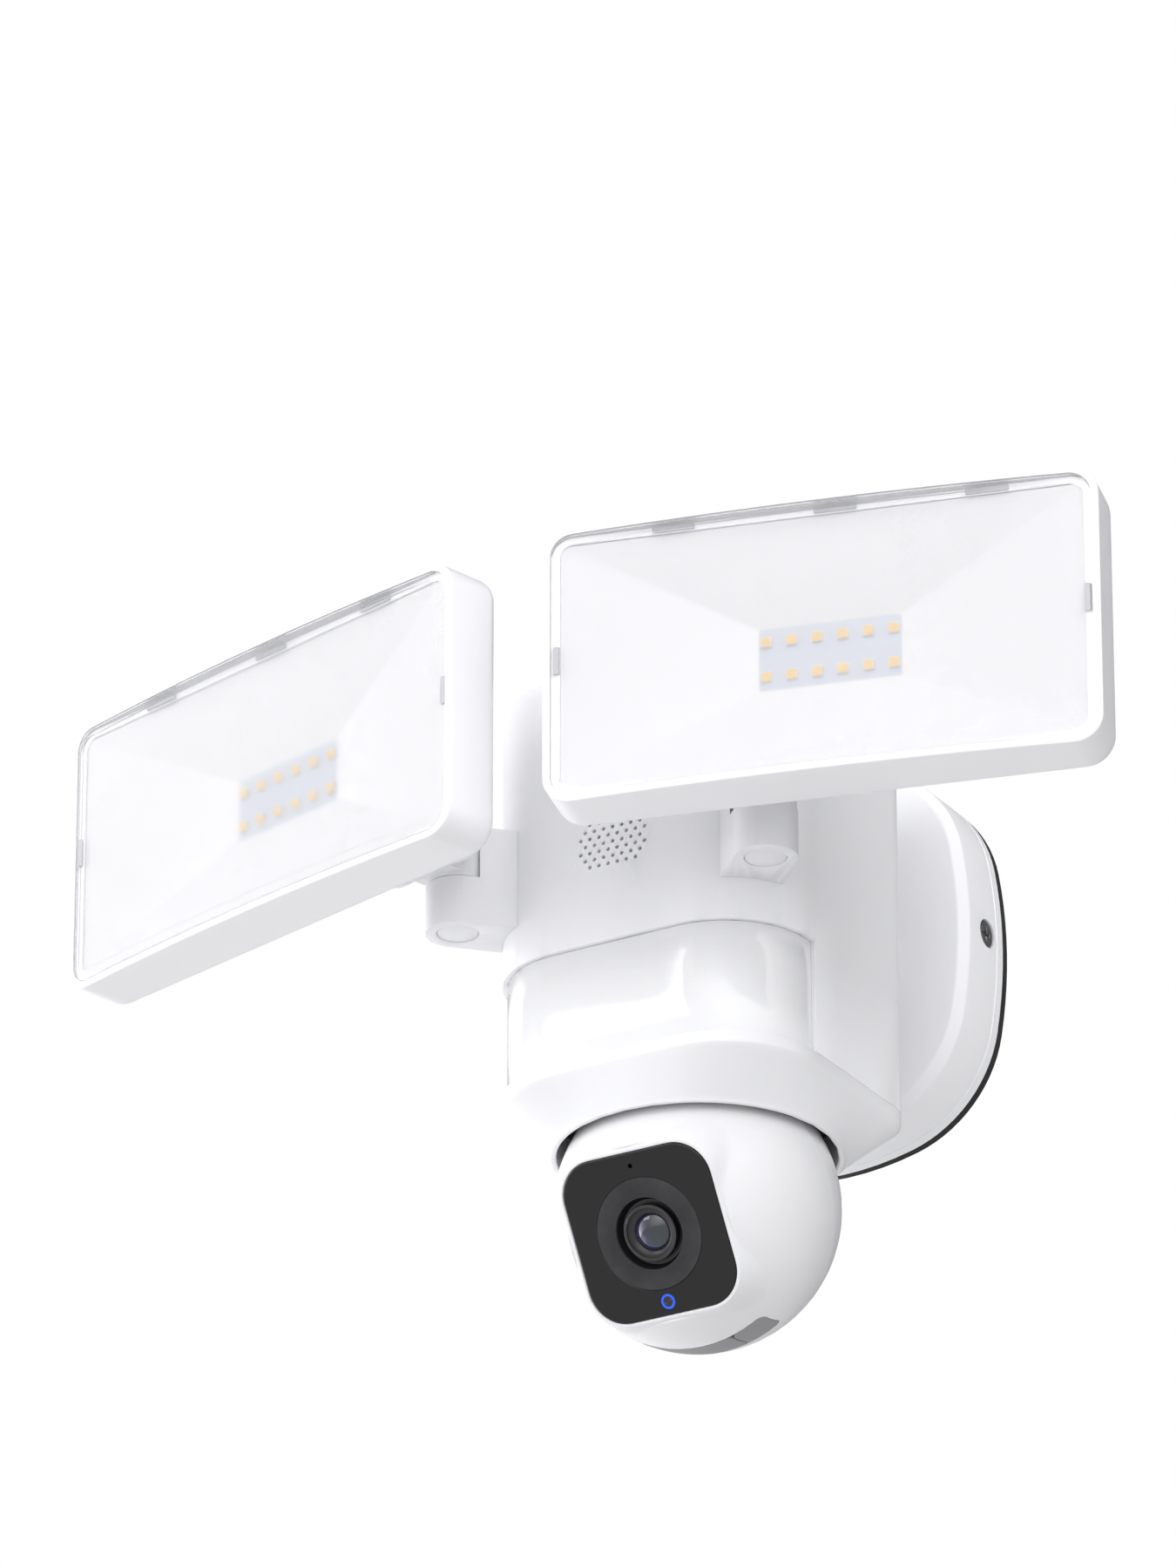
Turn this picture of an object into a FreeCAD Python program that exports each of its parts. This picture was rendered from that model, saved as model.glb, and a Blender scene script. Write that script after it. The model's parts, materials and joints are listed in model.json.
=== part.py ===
import FreeCAD, Part
import math
import os
import re
import Sketcher

# Wall-mounted floodlight camera: a base on the junction box, a camera column with two swivelling
# floodlights on its front corners and a pan-and-tilt camera ball hanging under it.
# Frame: the wall is the plane y = 0, the front is -Y, +X is the right-hand light as seen from
# the front and +Z is up. The origin is the centre of the gasket's wall face.

SIZES = {
    # Base
    "base_half": 56.4, "base_tall": 62.4, "base_rise": 6.2, "base_corner": 40.6, "base_bow": 1.75,
    "base_wall": 3.0,
    "base_depth": 27.0, "base_seam": 7.0, "base_bevel": 2.8, "gasket_depth": 3.0,
    "gasket_inset": 0.15, "gasket_band": 5.0, "bracket_gauge": 2.0, "strap_half": 9.0,
    "hub_radius": 21.0, "entry_radius": 12.0, "box_screw_pitch": 88.9, "box_slot_half": 2.4,
    "box_slot_length": 8.0, "ear_reach": 19.0, "side_screw_y": 13.0, "screw_seat": 2.2,
    "seat_boss": 6.0, "side_screw_z": 8.0, "ground_z": 28.0,
    # Neck between the base and the column
    "neck_radius": 24.0, "neck_bore": 16.0, "collar_step": 4.0, "nut_step": 6.0,
    "nut_depth": 4.0, "neck_tail": 6.0,
    # Camera column
    "column_half": 51.0, "column_back": 50.0, "column_front": 143.0, "column_top": 59.5,
    "front_corner": 30.0, "back_corner": 13.0, "top_round": 4.0, "shell": 2.4,
    "hatch_margin": 9.5, "hatch_corner": 7.0, "hatch_plate": 3.0, "hatch_sink": 0.4,
    "hatch_screw_inset": 5.5,
    # Sensor window and the skirt under it
    "window_top": 31.4, "window_wrap": 32.0, "window_sink": 1.5, "window_gauge": 2.4,
    "skirt_top": 67.2, "skirt_edge": 71.0, "skirt_rim": 84.2, "skirt_wall": 2.6,
    "mouth_tuck": 0.8, "rim_lip": 1.8,
    # Speaker
    "grille_z": 0.5, "hole_radius": 0.66, "hole_pitch": 3.14, "row_pitch": 2.33,
    "speaker_radius": 15.0, "speaker_depth": 9.0, "mesh_radius": 13.5, "mesh_gauge": 0.5,
    # Light arms on the column's front corners
    "pivot_out": 2.0, "pivot_ahead": 1.1, "lug_radius": 9.7, "lug_low": 18.3, "lug_high": 3.2,
    "web_high": 13.3, "web_reach": 24.0, "notch_gap": 1.2, "cap_radius": 6.3, "cap_gauge": 1.8,
    "bolt_radius": 3.0, "bolt_head": 5.4, "bolt_head_high": 3.0, "bolt_top": 9.0,
    # Swivel and tilt hinge
    "swivel_radius": 9.4, "swivel_top": 13.4, "swivel_gap": 0.3, "hinge_reach": 14.0,
    "hinge_z": 6.0, "tongue_half": 9.5, "tongue_radius": 8.2, "ear_gap": 0.4, "ear_gauge": 5.0,
    "ear_radius": 8.5, "pin_radius": 2.5,
    # Floodlights
    "pivot_inset": 50.9, "hinge_clear": 20.4, "hinge_rise": 22.55, "splay": 15.1,
    "lens_width": 163.0, "lens_height": 84.5, "lens_corner": 6.7, "lens_gauge": 2.0,
    "lens_bow": 1050.0, "light_rim": 2.35, "light_depth": 20.0, "light_corner": 9.0,
    "light_back_round": 4.0, "light_floor": 2.6, "seal_band": 2.4, "seal_gauge": 0.8,
    "tray_border": 3.6, "tray_gauge": 1.0, "tray_depth": 10.6, "board_width": 47.0,
    "board_height": 24.0, "board_gauge": 1.6, "led_side": 3.4, "led_high": 0.7,
    "led_pitch": 7.7, "led_row_pitch": 11.2,
    # Camera ball
    "ball_y": 93.1, "ball_radius": 42.9, "ball_wall": 3.2, "ball_pitch": 32.0,
    "ball_split": 5.0, "face_share": 0.577, "face_round": 0.455, "face_depth": 0.7925,
    "face_gauge": 2.6, "face_lip": 1.4, "face_sink": 0.3, "bezel_share": 0.687,
    "well_radius": 11.8, "barrel_radius": 8.6, "glass_radius": 5.4, "well_depth": 3.2,
    "detail_share": 0.8404, "ring_radius": 2.4, "ring_hole": 1.3, "mic_hole": 0.7,
    # Pan-and-tilt drive
    "frame_low": 50.0, "frame_gauge": 2.5, "bearing_inner": 19.0, "bearing_outer": 25.0,
    "bearing_high": 3.0, "turret_radius": 26.0, "turret_gauge": 3.5, "ball_gap": 0.95,
    "stem_half": 6.5, "stem_deep": 6.0, "stem_boss": 8.0, "slot_gap": 1.7, "slot_back": 47.0,
    "slot_front": 23.0, "shaft_radius": 3.0, "shaft_top": 36.0, "motor_radius": 13.0,
    "motor_high": 15.0, "tilt_half": 27.0, "tilt_motor_radius": 9.0, "tilt_motor_long": 12.0,
    "bush_radius": 6.0, "bush_start": 22.0,
    # Rubber port flap and sync button under the ball
    "flap_end": 20.7, "flap_split": 9.6, "flap_half": 6.0, "flap_gauge": 1.5, "flap_gap": 0.25,
    "flap_angle": 69.5, "button_travel": 0.7,
    # Clearances
    "fit": 0.15, "running": 0.05, "bearing_gap": 0.3,
}

# Sizes that follow from the driving ones.
DERIVED = {
    "base_corner_x": "base_half - base_corner - base_bow",
    "base_corner_z": "base_tall - base_corner - base_bow",
    "collar_radius": "neck_radius + collar_step",
    "nut_radius": "neck_radius + nut_step",
    "hatch_half": "column_half - back_corner",
    "hatch_low": "frame_low - 4",
    "hatch_high": "column_top - hatch_margin",
    "hatch_screw_x": "hatch_half - hatch_screw_inset",
    "hatch_screw_z": "hatch_low - hatch_screw_inset - 1",
    "window_end": "column_front - window_wrap",
    "pivot_x": "column_half + pivot_out",
    "pivot_y": "column_front + pivot_ahead",
    "notch_radius": "swivel_radius + notch_gap",
    "pivot_across": "pivot_inset - lens_width / 2",
    "hinge_back": "light_depth + hinge_clear",
    "pivot_back": "hinge_back + hinge_reach",
    "light_x": "pivot_x - pivot_across * cos(splay) + pivot_back * sin(splay)",
    "light_y": "pivot_y + pivot_back * cos(splay) + pivot_across * sin(splay)",
    "light_z": "hinge_z + lens_height / 2 - hinge_rise",
    "hinge_drop": "hinge_rise - lens_height / 2",
    "tray_front": "lens_gauge + 0.1",
    "turret_high": "frame_low + bearing_high + bearing_gap",
    "turret_low": "turret_high + turret_gauge",
    "ball_z": "turret_low + ball_gap + ball_radius",
    "mouth_radius": "ball_radius - mouth_tuck",
    "rim_radius": "mouth_radius + rim_lip",
    "face_front": "ball_radius * face_depth",
    "face_half": "ball_radius * face_share",
    "face_corner": "face_half * face_round",
    "bezel_radius": "face_half * bezel_share",
    "detail_z": "face_half * detail_share",
    "slot_half": "stem_half + slot_gap",
}

DOC = FreeCAD.newDocument("floodlight_camera")
SHEET = DOC.addObject("Spreadsheet::Sheet", "dims")
for row, (alias, number) in enumerate(SIZES.items(), start=1):
    SHEET.set(f"A{row}", alias)
    SHEET.set(f"B{row}", str(number))
    SHEET.setAlias(f"B{row}", alias)
DOC.recompute()

NODES = []
CENTRE = ("0", "0")
DOWN_X = FreeCAD.Rotation(FreeCAD.Vector(1, 0, 0), 90)
ALONG_X = FreeCAD.Rotation(FreeCAD.Vector(0, 1, 0), 90)
UPRIGHT = FreeCAD.Rotation()


# ---------------------------------------------------------------- naming and measuring
def spell(expression):
    """Spell out an expression for FreeCAD: derived sizes in full, named sizes as the sheet's cells."""
    def full(word):
        if word[0] in DERIVED:
            return f"({spell(DERIVED[word[0]])})"
        return f"dims.{word[0]}" if word[0] in SIZES else word[0]

    return re.sub(r"[a-z]\w*", full, str(expression))


def number(expression):
    """The value of an expression in named sizes."""
    result = SHEET.evalExpression(spell(expression))
    return float(getattr(result, "Value", result))


def bind(item, **expressions):
    """Bind properties to expressions; two underscores in a name stand for a dot."""
    for name, expression in expressions.items():
        item.setExpression(name.replace("__", "."), spell(expression))
    return item


def place(item, at=("0", "0", "0"), turn=UPRIGHT, angle=None):
    """Put an item at a point given by expressions, turned by a rotation or a bound angle."""
    item.Placement = FreeCAD.Placement(FreeCAD.Vector(), turn)
    bind(item, Placement__Base__x=at[0], Placement__Base__y=at[1], Placement__Base__z=at[2])
    if angle is not None:
        bind(item, Placement__Rotation__Angle=f"({angle}) * 1 deg")
    return item


def keep(item, label):
    """Name an item as one of the object's pieces."""
    item.Label = label
    NODES.append(item)
    return item


# ---------------------------------------------------------------- sketches
def sketch_on(body, plane, offset="0"):
    """A sketch on one of the body's own origin planes, moved along its normal."""
    sketch = body.newObject("Sketcher::SketchObject", "Sketch")
    datum = next(item for item in body.Origin.OriginFeatures if item.Role == plane)
    sketch.AttachmentSupport = [(datum, "")]
    sketch.MapMode = "FlatFace"
    return bind(sketch, AttachmentOffset__Base__z=offset)


def pin_point(sketch, geometry, position, point):
    """Hold a point of the sketch at two expressions measured from the sketch's origin."""
    for kind, expression in zip(("DistanceX", "DistanceY"), point):
        index = sketch.addConstraint(
            Sketcher.Constraint(kind, -1, 1, geometry, position, number(expression)))
        sketch.setExpression(f"Constraints[{index}]", spell(expression))


def set_radius(sketch, geometry, radius):
    """Give an arc or a circle a bound radius."""
    index = sketch.addConstraint(Sketcher.Constraint("Radius", geometry, number(radius)))
    sketch.setExpression(f"Constraints[{index}]", spell(radius))


def circles(sketch, *discs):
    """Circles, each given as its centre's two coordinates and its radius."""
    for x, y, radius in discs:
        centre = FreeCAD.Vector(number(x), number(y), 0)
        round_edge = Part.Circle(centre, FreeCAD.Vector(0, 0, 1), number(radius))
        index = sketch.addGeometry(round_edge, False)
        pin_point(sketch, index, 3, (x, y))
        set_radius(sketch, index, radius)
    return sketch


def polygon(sketch, *corners):
    """A closed outline of straight lines between sharp corners."""
    points = [FreeCAD.Vector(number(x), number(y), 0) for x, y in corners]
    first = sketch.addGeometry(
        [Part.LineSegment(a, b) for a, b in zip(points, points[1:] + points[:1])], False)[0]
    count = len(corners)
    for step, corner in enumerate(corners):
        following = first + (step + 1) % count
        sketch.addConstraint(Sketcher.Constraint("Coincident", first + step, 2, following, 1))
        pin_point(sketch, first + step, 1, corner)
    return sketch


def rounded(sketch, *corners):
    """A closed outline of straight lines and tangent arcs, its corners anticlockwise as x, y, r."""
    points = [FreeCAD.Vector(number(x), number(y), 0) for x, y, _ in corners]
    radii = [number(r) for _, _, r in corners]
    count = len(corners)
    starts, ends, arcs = [], [], []
    for step in range(count):
        before = (points[step - 1] - points[step]).normalize()
        after = (points[(step + 1) % count] - points[step]).normalize()
        half_turn = before.getAngle(after) / 2
        cut = radii[step] / math.tan(half_turn)
        ends.append(points[step] + before * cut)
        starts.append(points[step] + after * cut)
        centre = points[step] + (before + after).normalize() * (radii[step] / math.sin(half_turn))
        middle = centre + (points[step] - centre).normalize() * radii[step]
        arcs.append(Part.Arc(ends[step], middle, starts[step]))
    lines = [Part.LineSegment(starts[step], ends[(step + 1) % count]) for step in range(count)]
    line = sketch.addGeometry(lines, False)[0]
    arc = sketch.addGeometry(arcs, False)[0]
    for step, (x, y, radius) in enumerate(corners):
        corner = sketch.addGeometry(Part.Point(points[step]), True)
        previous = line + (step - 1) % count
        sketch.addConstraint(Sketcher.Constraint("Tangent", previous, 2, arc + step, 1))
        sketch.addConstraint(Sketcher.Constraint("Tangent", arc + step, 2, line + step, 1))
        sketch.addConstraint(Sketcher.Constraint("PointOnObject", corner, 1, previous))
        sketch.addConstraint(Sketcher.Constraint("PointOnObject", corner, 1, line + step))
        pin_point(sketch, corner, 1, (x, y))
        set_radius(sketch, arc + step, radius)
    return sketch


def round_box(sketch, half_x, half_y, radius, at=CENTRE):
    """A rounded rectangle about a point, by its two half sizes."""
    x, y = at
    return rounded(sketch,
                   (f"{x} - ({half_x})", f"{y} - ({half_y})", radius),
                   (f"{x} + ({half_x})", f"{y} - ({half_y})", radius),
                   (f"{x} + ({half_x})", f"{y} + ({half_y})", radius),
                   (f"{x} - ({half_x})", f"{y} + ({half_y})", radius))


def column_outline(sketch, inset):
    """The camera column's plan, moved in by an inset: wide front corners, tighter back corners."""
    half = f"column_half - ({inset})"
    back = f"-column_back - ({inset})"
    front = f"-column_front + ({inset})"
    return rounded(sketch,
                   (f"-({half})", front, f"front_corner - ({inset})"),
                   (half, front, f"front_corner - ({inset})"),
                   (half, back, f"back_corner - ({inset})"),
                   (f"-({half})", back, f"back_corner - ({inset})"))


def base_outline(sketch, inset):
    """The base's outline moved in by an inset: four bowed sides tangent to four round corners."""
    corner, inwards = number("base_corner"), number(inset)
    x, z, rise = number("base_corner_x"), number("base_corner_z"), number("base_rise")
    upright, flat = number(BASE_UPRIGHT), number(BASE_FLAT)
    lean = math.asin(z / (upright - corner))
    dip = math.asin(x / (flat - corner))
    arcs = []
    for turn in (0, math.pi):
        over = math.cos(turn)
        spots = ((over * (number("base_half") - upright), 0, upright, -lean, lean),
                 (over * x, over * z, corner, lean, math.pi / 2 - dip),
                 (0, over * (number("base_tall") - flat), flat, math.pi / 2 - dip, math.pi / 2 + dip),
                 (-over * x, over * z, corner, math.pi / 2 + dip, math.pi - lean))
        for across, up, radius, start, stop in spots:
            centre = FreeCAD.Vector(across, rise + up, 0)
            circle = Part.Circle(centre, FreeCAD.Vector(0, 0, 1), radius - inwards)
            arcs.append(Part.ArcOfCircle(circle, turn + start, turn + stop))
    sketch.addGeometry(arcs, False)
    for step in range(8):
        sketch.addConstraint(Sketcher.Constraint("Tangent", step, 2, (step + 1) % 8, 1))
    for step, across, up, side in ((1, "", "+", BASE_UPRIGHT), (3, "-", "+", BASE_FLAT),
                                   (5, "-", "-", BASE_UPRIGHT), (7, "", "-", BASE_FLAT)):
        pin_point(sketch, step, 3, (f"{across}base_corner_x", f"base_rise {up} base_corner_z"))
        set_radius(sketch, step, f"base_corner - ({inset})")
        set_radius(sketch, step - 1, f"{side} - ({inset})")
    return sketch


def rim_outline(sketch, radius):
    """The ball's round mouth as eight arcs that meet in line with the column outline's joints."""
    front, back, side = "column_front - ball_y", "ball_y - column_back", "column_half"
    wide, tight = "front_corner", "back_corner"
    joints = [(f"{side} - {wide}", f"-({front})"), (side, f"-({front} - {wide})"),
              (side, f"{back} - {tight}"), (f"{side} - {tight}", back)]
    joints += [(f"-({x})", y) for x, y in reversed(joints)]
    spots, angles = [], []
    for x, y in joints:
        span = f"sqrt(({x})^2 + ({y})^2)"
        spots.append((f"({radius}) * ({x}) / {span}", f"({radius}) * ({y}) / {span} - ball_y"))
        angles.append(math.atan2(number(y), number(x)))
    centre = FreeCAD.Vector(0, -number("ball_y"), 0)
    circle = Part.Circle(centre, FreeCAD.Vector(0, 0, 1), number(radius))
    arcs = [Part.ArcOfCircle(circle, angles[step], angles[(step + 1) % 8]) for step in range(8)]
    sketch.addGeometry(arcs, False)
    for step in range(8):
        sketch.addConstraint(Sketcher.Constraint("Coincident", step, 2, (step + 1) % 8, 1))
        pin_point(sketch, step, 1, spots[step])
        set_radius(sketch, step, radius)
    return sketch


BASE_UPRIGHT = ("((base_corner + base_bow)^2 + base_corner_z^2 - base_corner^2)"
                " / (2 * base_bow)")
BASE_FLAT = ("((base_corner + base_bow)^2 + base_corner_x^2 - base_corner^2)"
             " / (2 * base_bow)")


def bowed(sketch, half, front, back, front_radius, back_radius=None):
    """A plan with a front that bows towards -Y and a back that is straight or bows with it."""
    points = [(f"-({half})", front), (half, front), (half, back), (f"-({half})", back)]
    spots = [FreeCAD.Vector(number(x), number(y), 0) for x, y in points]

    def bow(a, b, radius):
        depth = radius - math.sqrt(radius ** 2 - (number(half)) ** 2)
        return Part.Arc(a, (a + b) * 0.5 - FreeCAD.Vector(0, depth, 0), b)

    edges = [bow(spots[0], spots[1], number(front_radius)), Part.LineSegment(spots[1], spots[2])]
    if back_radius:
        edges.append(bow(spots[3], spots[2], number(back_radius)))
    else:
        edges.append(Part.LineSegment(spots[3], spots[2]))
    edges.append(Part.LineSegment(spots[3], spots[0]))
    sketch.addGeometry(edges, False)
    for a, end_a, b, end_b in ((0, 2, 1, 1), (1, 2, 2, 2), (2, 1, 3, 1), (3, 2, 0, 1)):
        sketch.addConstraint(Sketcher.Constraint("Coincident", a, end_a, b, end_b))
    for geometry, position, point in ((0, 1, 0), (0, 2, 1), (2, 2, 2), (2, 1, 3)):
        pin_point(sketch, geometry, position, points[point])
    set_radius(sketch, 0, front_radius)
    if back_radius:
        set_radius(sketch, 2, back_radius)
    return sketch


# ---------------------------------------------------------------- features
def new_body(label=None, **placing):
    """A PartDesign body; with a label it is one of the object's pieces."""
    body = DOC.addObject("PartDesign::Body", "Body")
    if placing:
        place(body, **placing)
    return keep(body, label) if label else body


def feature(body, kind, sketch, **expressions):
    """A feature made from a sketch, with its sizes bound."""
    item = body.newObject(f"PartDesign::{kind}", kind)
    item.Profile = sketch
    sketch.Visibility = False
    return bind(item, **expressions)


def pad(body, sketch, length, both_ways=False):
    """Material along the sketch's normal."""
    item = feature(body, "Pad", sketch, Length=length)
    item.Midplane = both_ways
    return item


def pocket(body, sketch, length, both_ways=False):
    """A cut along the sketch's normal."""
    item = feature(body, "Pocket", sketch, Length=length)
    item.Reversed = not both_ways
    item.Midplane = both_ways
    return item


def revolve(body, sketch, axis="V_Axis"):
    """A full turn of the sketch about one of its own axes."""
    item = feature(body, "Revolution", sketch)
    item.ReferenceAxis = (sketch, [axis])
    item.Angle = 360
    return item


def edges_where(shape, test):
    """The names of a shape's edges whose middle point, direction and length pass a test."""
    names = []
    for index, edge in enumerate(shape.Edges, start=1):
        middle = edge.valueAt((edge.FirstParameter + edge.LastParameter) / 2)
        along = edge.tangentAt((edge.FirstParameter + edge.LastParameter) / 2)
        if test(middle, along):
            names.append(f"Edge{index}")
    return names


def soften(body, kind, base, size, test):
    """A fillet or chamfer on the edges of the body that pass a test."""
    DOC.recompute()
    item = body.newObject(f"PartDesign::{kind}", kind)
    item.Base = (base, edges_where(base.Shape, test))
    item.setExpression("Radius" if kind == "Fillet" else "Size", spell(size))
    return item


def near(a, b):
    """True when two lengths are the same within a hundredth of a millimetre."""
    return abs(a - b) < 0.01


def rod(radius, length, at, turn=UPRIGHT):
    """A plain cylinder that starts at a point and runs along the turned Z axis."""
    item = DOC.addObject("Part::Cylinder", "Cylinder")
    return place(bind(item, Radius=radius, Height=length), at, turn)


def block(size, at):
    """A plain block from its low corner."""
    item = DOC.addObject("Part::Box", "Box")
    return place(bind(item, Length=size[0], Width=size[1], Height=size[2]), at)


def cut(base, *tools):
    """One shape less some others."""
    for tool in tools:
        item = DOC.addObject("Part::Cut", "Cut")
        item.Base = base
        item.Tool = tool
        base = item
    return base


def join(*shapes):
    """Shapes fused into one."""
    item = DOC.addObject("Part::MultiFuse", "Fusion")
    item.Shapes = list(shapes)
    return item


def group(*shapes):
    """Separate solids kept together in one node."""
    item = DOC.addObject("Part::Compound", "Compound")
    item.Links = list(shapes)
    return item


def mirrored(source, label=None):
    """The same shape on the other side of the plane x = 0."""
    item = DOC.addObject("Part::Mirroring", "Mirror")
    item.Source = source
    item.Normal = FreeCAD.Vector(1, 0, 0)
    return keep(item, label) if label else item


def screw(head, head_high, shank, length, at, turn):
    """A pan-head screw with a cross recess; its head starts at a point, its shank runs on along Z."""
    whole = join(rod(head, head_high, ("0", "0", "0")),
                 rod(shank, f"{head_high} + {length}", ("0", "0", "0")))
    arm, width, depth = f"{head} * 0.55", f"{head} * 0.22", f"{head_high} * 0.6"
    crossed = cut(whole,
                  block((f"2 * {arm}", width, depth), (f"-{arm}", f"-{width} / 2", "0")),
                  block((width, f"2 * {arm}", depth), (f"-{width} / 2", f"-{arm}", "0")))
    return place(crossed, at, turn)


# ---------------------------------------------------------------- base
def build_base():
    """Gasket, rear ring, cover, bracket and what the base holds."""
    gasket = new_body("wall_gasket")
    pad(gasket, base_outline(sketch_on(gasket, "XZ_Plane"), "gasket_inset"), "gasket_depth")
    pocket(gasket, base_outline(sketch_on(gasket, "XZ_Plane"), "gasket_inset + gasket_band"),
           "gasket_depth")

    ring = new_body("base_rear_ring")
    ring_depth = "base_seam - gasket_depth"
    pad(ring, base_outline(sketch_on(ring, "XZ_Plane", "gasket_depth"), "0"), ring_depth)
    pocket(ring, base_outline(sketch_on(ring, "XZ_Plane", "gasket_depth"), "base_wall"), ring_depth)

    cover = new_body("base_cover")
    solid = pad(cover, base_outline(sketch_on(cover, "XZ_Plane", "base_seam"), "0"),
                "base_depth - base_seam")
    front = -number("base_depth")
    soften(cover, "Chamfer", solid, "base_bevel", lambda middle, along: near(middle.y, front))
    pocket(cover, base_outline(sketch_on(cover, "XZ_Plane", "base_seam"), "base_wall"),
           "base_depth - base_seam - base_wall")
    pocket(cover, circles(sketch_on(cover, "XZ_Plane"), ("0", "0", "neck_radius + fit")),
           "base_depth")
    for side in ("", "-"):
        boss = sketch_on(cover, "YZ_Plane", f"{side}(base_half - screw_seat)")
        lump = pad(cover, circles(boss, ("-side_screw_y", "side_screw_z", "seat_boss")),
                   "base_wall + 1")
        lump.Reversed = side == ""
    pocket(cover, circles(sketch_on(cover, "YZ_Plane"), ("-side_screw_y", "side_screw_z", "2.3")),
           "2 * base_half", both_ways=True)
    for side in ("", "-"):
        seat = sketch_on(cover, "YZ_Plane", f"{side}(base_half - screw_seat)")
        sink = pocket(cover, circles(seat, ("-side_screw_y", "side_screw_z", "4.6")), "5")
        sink.Reversed = side == ""

    bracket = new_body("mounting_bracket")
    strap_reach = "base_half - gasket_inset - gasket_band - 0.7"
    pad(bracket, round_box(sketch_on(bracket, "XZ_Plane"), "strap_half", strap_reach, "3"),
        "bracket_gauge")
    pad(bracket, circles(sketch_on(bracket, "XZ_Plane"), ("0", "0", "hub_radius")),
        "bracket_gauge")
    ear_face = f"{strap_reach} - 1"
    pad(bracket, round_box(sketch_on(bracket, "XZ_Plane"), ear_face, "strap_half - 1", "1",
                           ("0", "side_screw_z")), "bracket_gauge")
    for side in ("", "-"):
        ear = sketch_on(bracket, "XZ_Plane")
        round_box(ear, "bracket_gauge / 2", "strap_half - 1", "0.4",
                  (f"{side}({ear_face} - bracket_gauge / 2)", "side_screw_z"))
        pad(bracket, ear, "ear_reach")
        slot = sketch_on(bracket, "XZ_Plane")
        round_box(slot, "box_slot_half", "box_slot_length / 2", "box_slot_half - 0.001",
                  ("0", f"{side}box_screw_pitch / 2"))
        pocket(bracket, slot, "bracket_gauge")
    pocket(bracket, circles(sketch_on(bracket, "XZ_Plane"), ("0", "0", "entry_radius")),
           "bracket_gauge")
    pocket(bracket, circles(sketch_on(bracket, "XZ_Plane"), ("0", "-ground_z", "2 + fit")),
           "bracket_gauge")
    pocket(bracket, circles(sketch_on(bracket, "YZ_Plane"),
                            ("-side_screw_y", "side_screw_z", "2 + fit")),
           "2 * base_half", both_ways=True)

    right = screw("4.2", "1.6", "2", "9", ("base_half - 0.5", "-side_screw_y", "side_screw_z"),
                  FreeCAD.Rotation(FreeCAD.Vector(0, 1, 0), -90))
    keep(group(right, mirrored(right)), "base_side_screws")
    keep(screw("3.8", "2", "2", "3.5", ("0", "-bracket_gauge - 2", "-ground_z"),
               FreeCAD.Rotation(FreeCAD.Vector(1, 0, 0), -90)), "ground_screw")

    terminals = new_body("terminal_block")
    pad(terminals, round_box(sketch_on(terminals, "XZ_Plane", "base_depth - base_wall - 10"),
                             "16", "6", "1.5", ("0", "-base_half + 16.2")), "10")
    holes = [(f"{x}", "-base_half + 16.2", "1.6") for x in (-10, 0, 10)]
    pocket(terminals, circles(sketch_on(terminals, "XZ_Plane", "base_depth - base_wall - 10"),
                              *holes), "7")

    neck = new_body("neck")
    tube_start = "base_depth - base_wall - nut_depth"
    tube_stop = "column_back + hatch_sink + hatch_plate + neck_tail"
    pad(neck, circles(sketch_on(neck, "XZ_Plane", tube_start), ("0", "0", "neck_radius")),
        f"{tube_stop} - ({tube_start})")
    pad(neck, circles(sketch_on(neck, "XZ_Plane", "base_depth"), ("0", "0", "collar_radius")),
        "column_back + hatch_sink - base_depth")
    pocket(neck, circles(sketch_on(neck, "XZ_Plane"), ("0", "0", "neck_bore")), tube_stop)

    nuts = []
    for start in (tube_start, "column_back + hatch_sink + hatch_plate"):
        at = ("0", f"-({start})", "0")
        nuts.append(cut(rod("nut_radius", "nut_depth", at, DOWN_X),
                        rod("neck_radius + fit", "nut_depth", at, DOWN_X)))
    keep(group(*nuts), "neck_lock_nuts")


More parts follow.
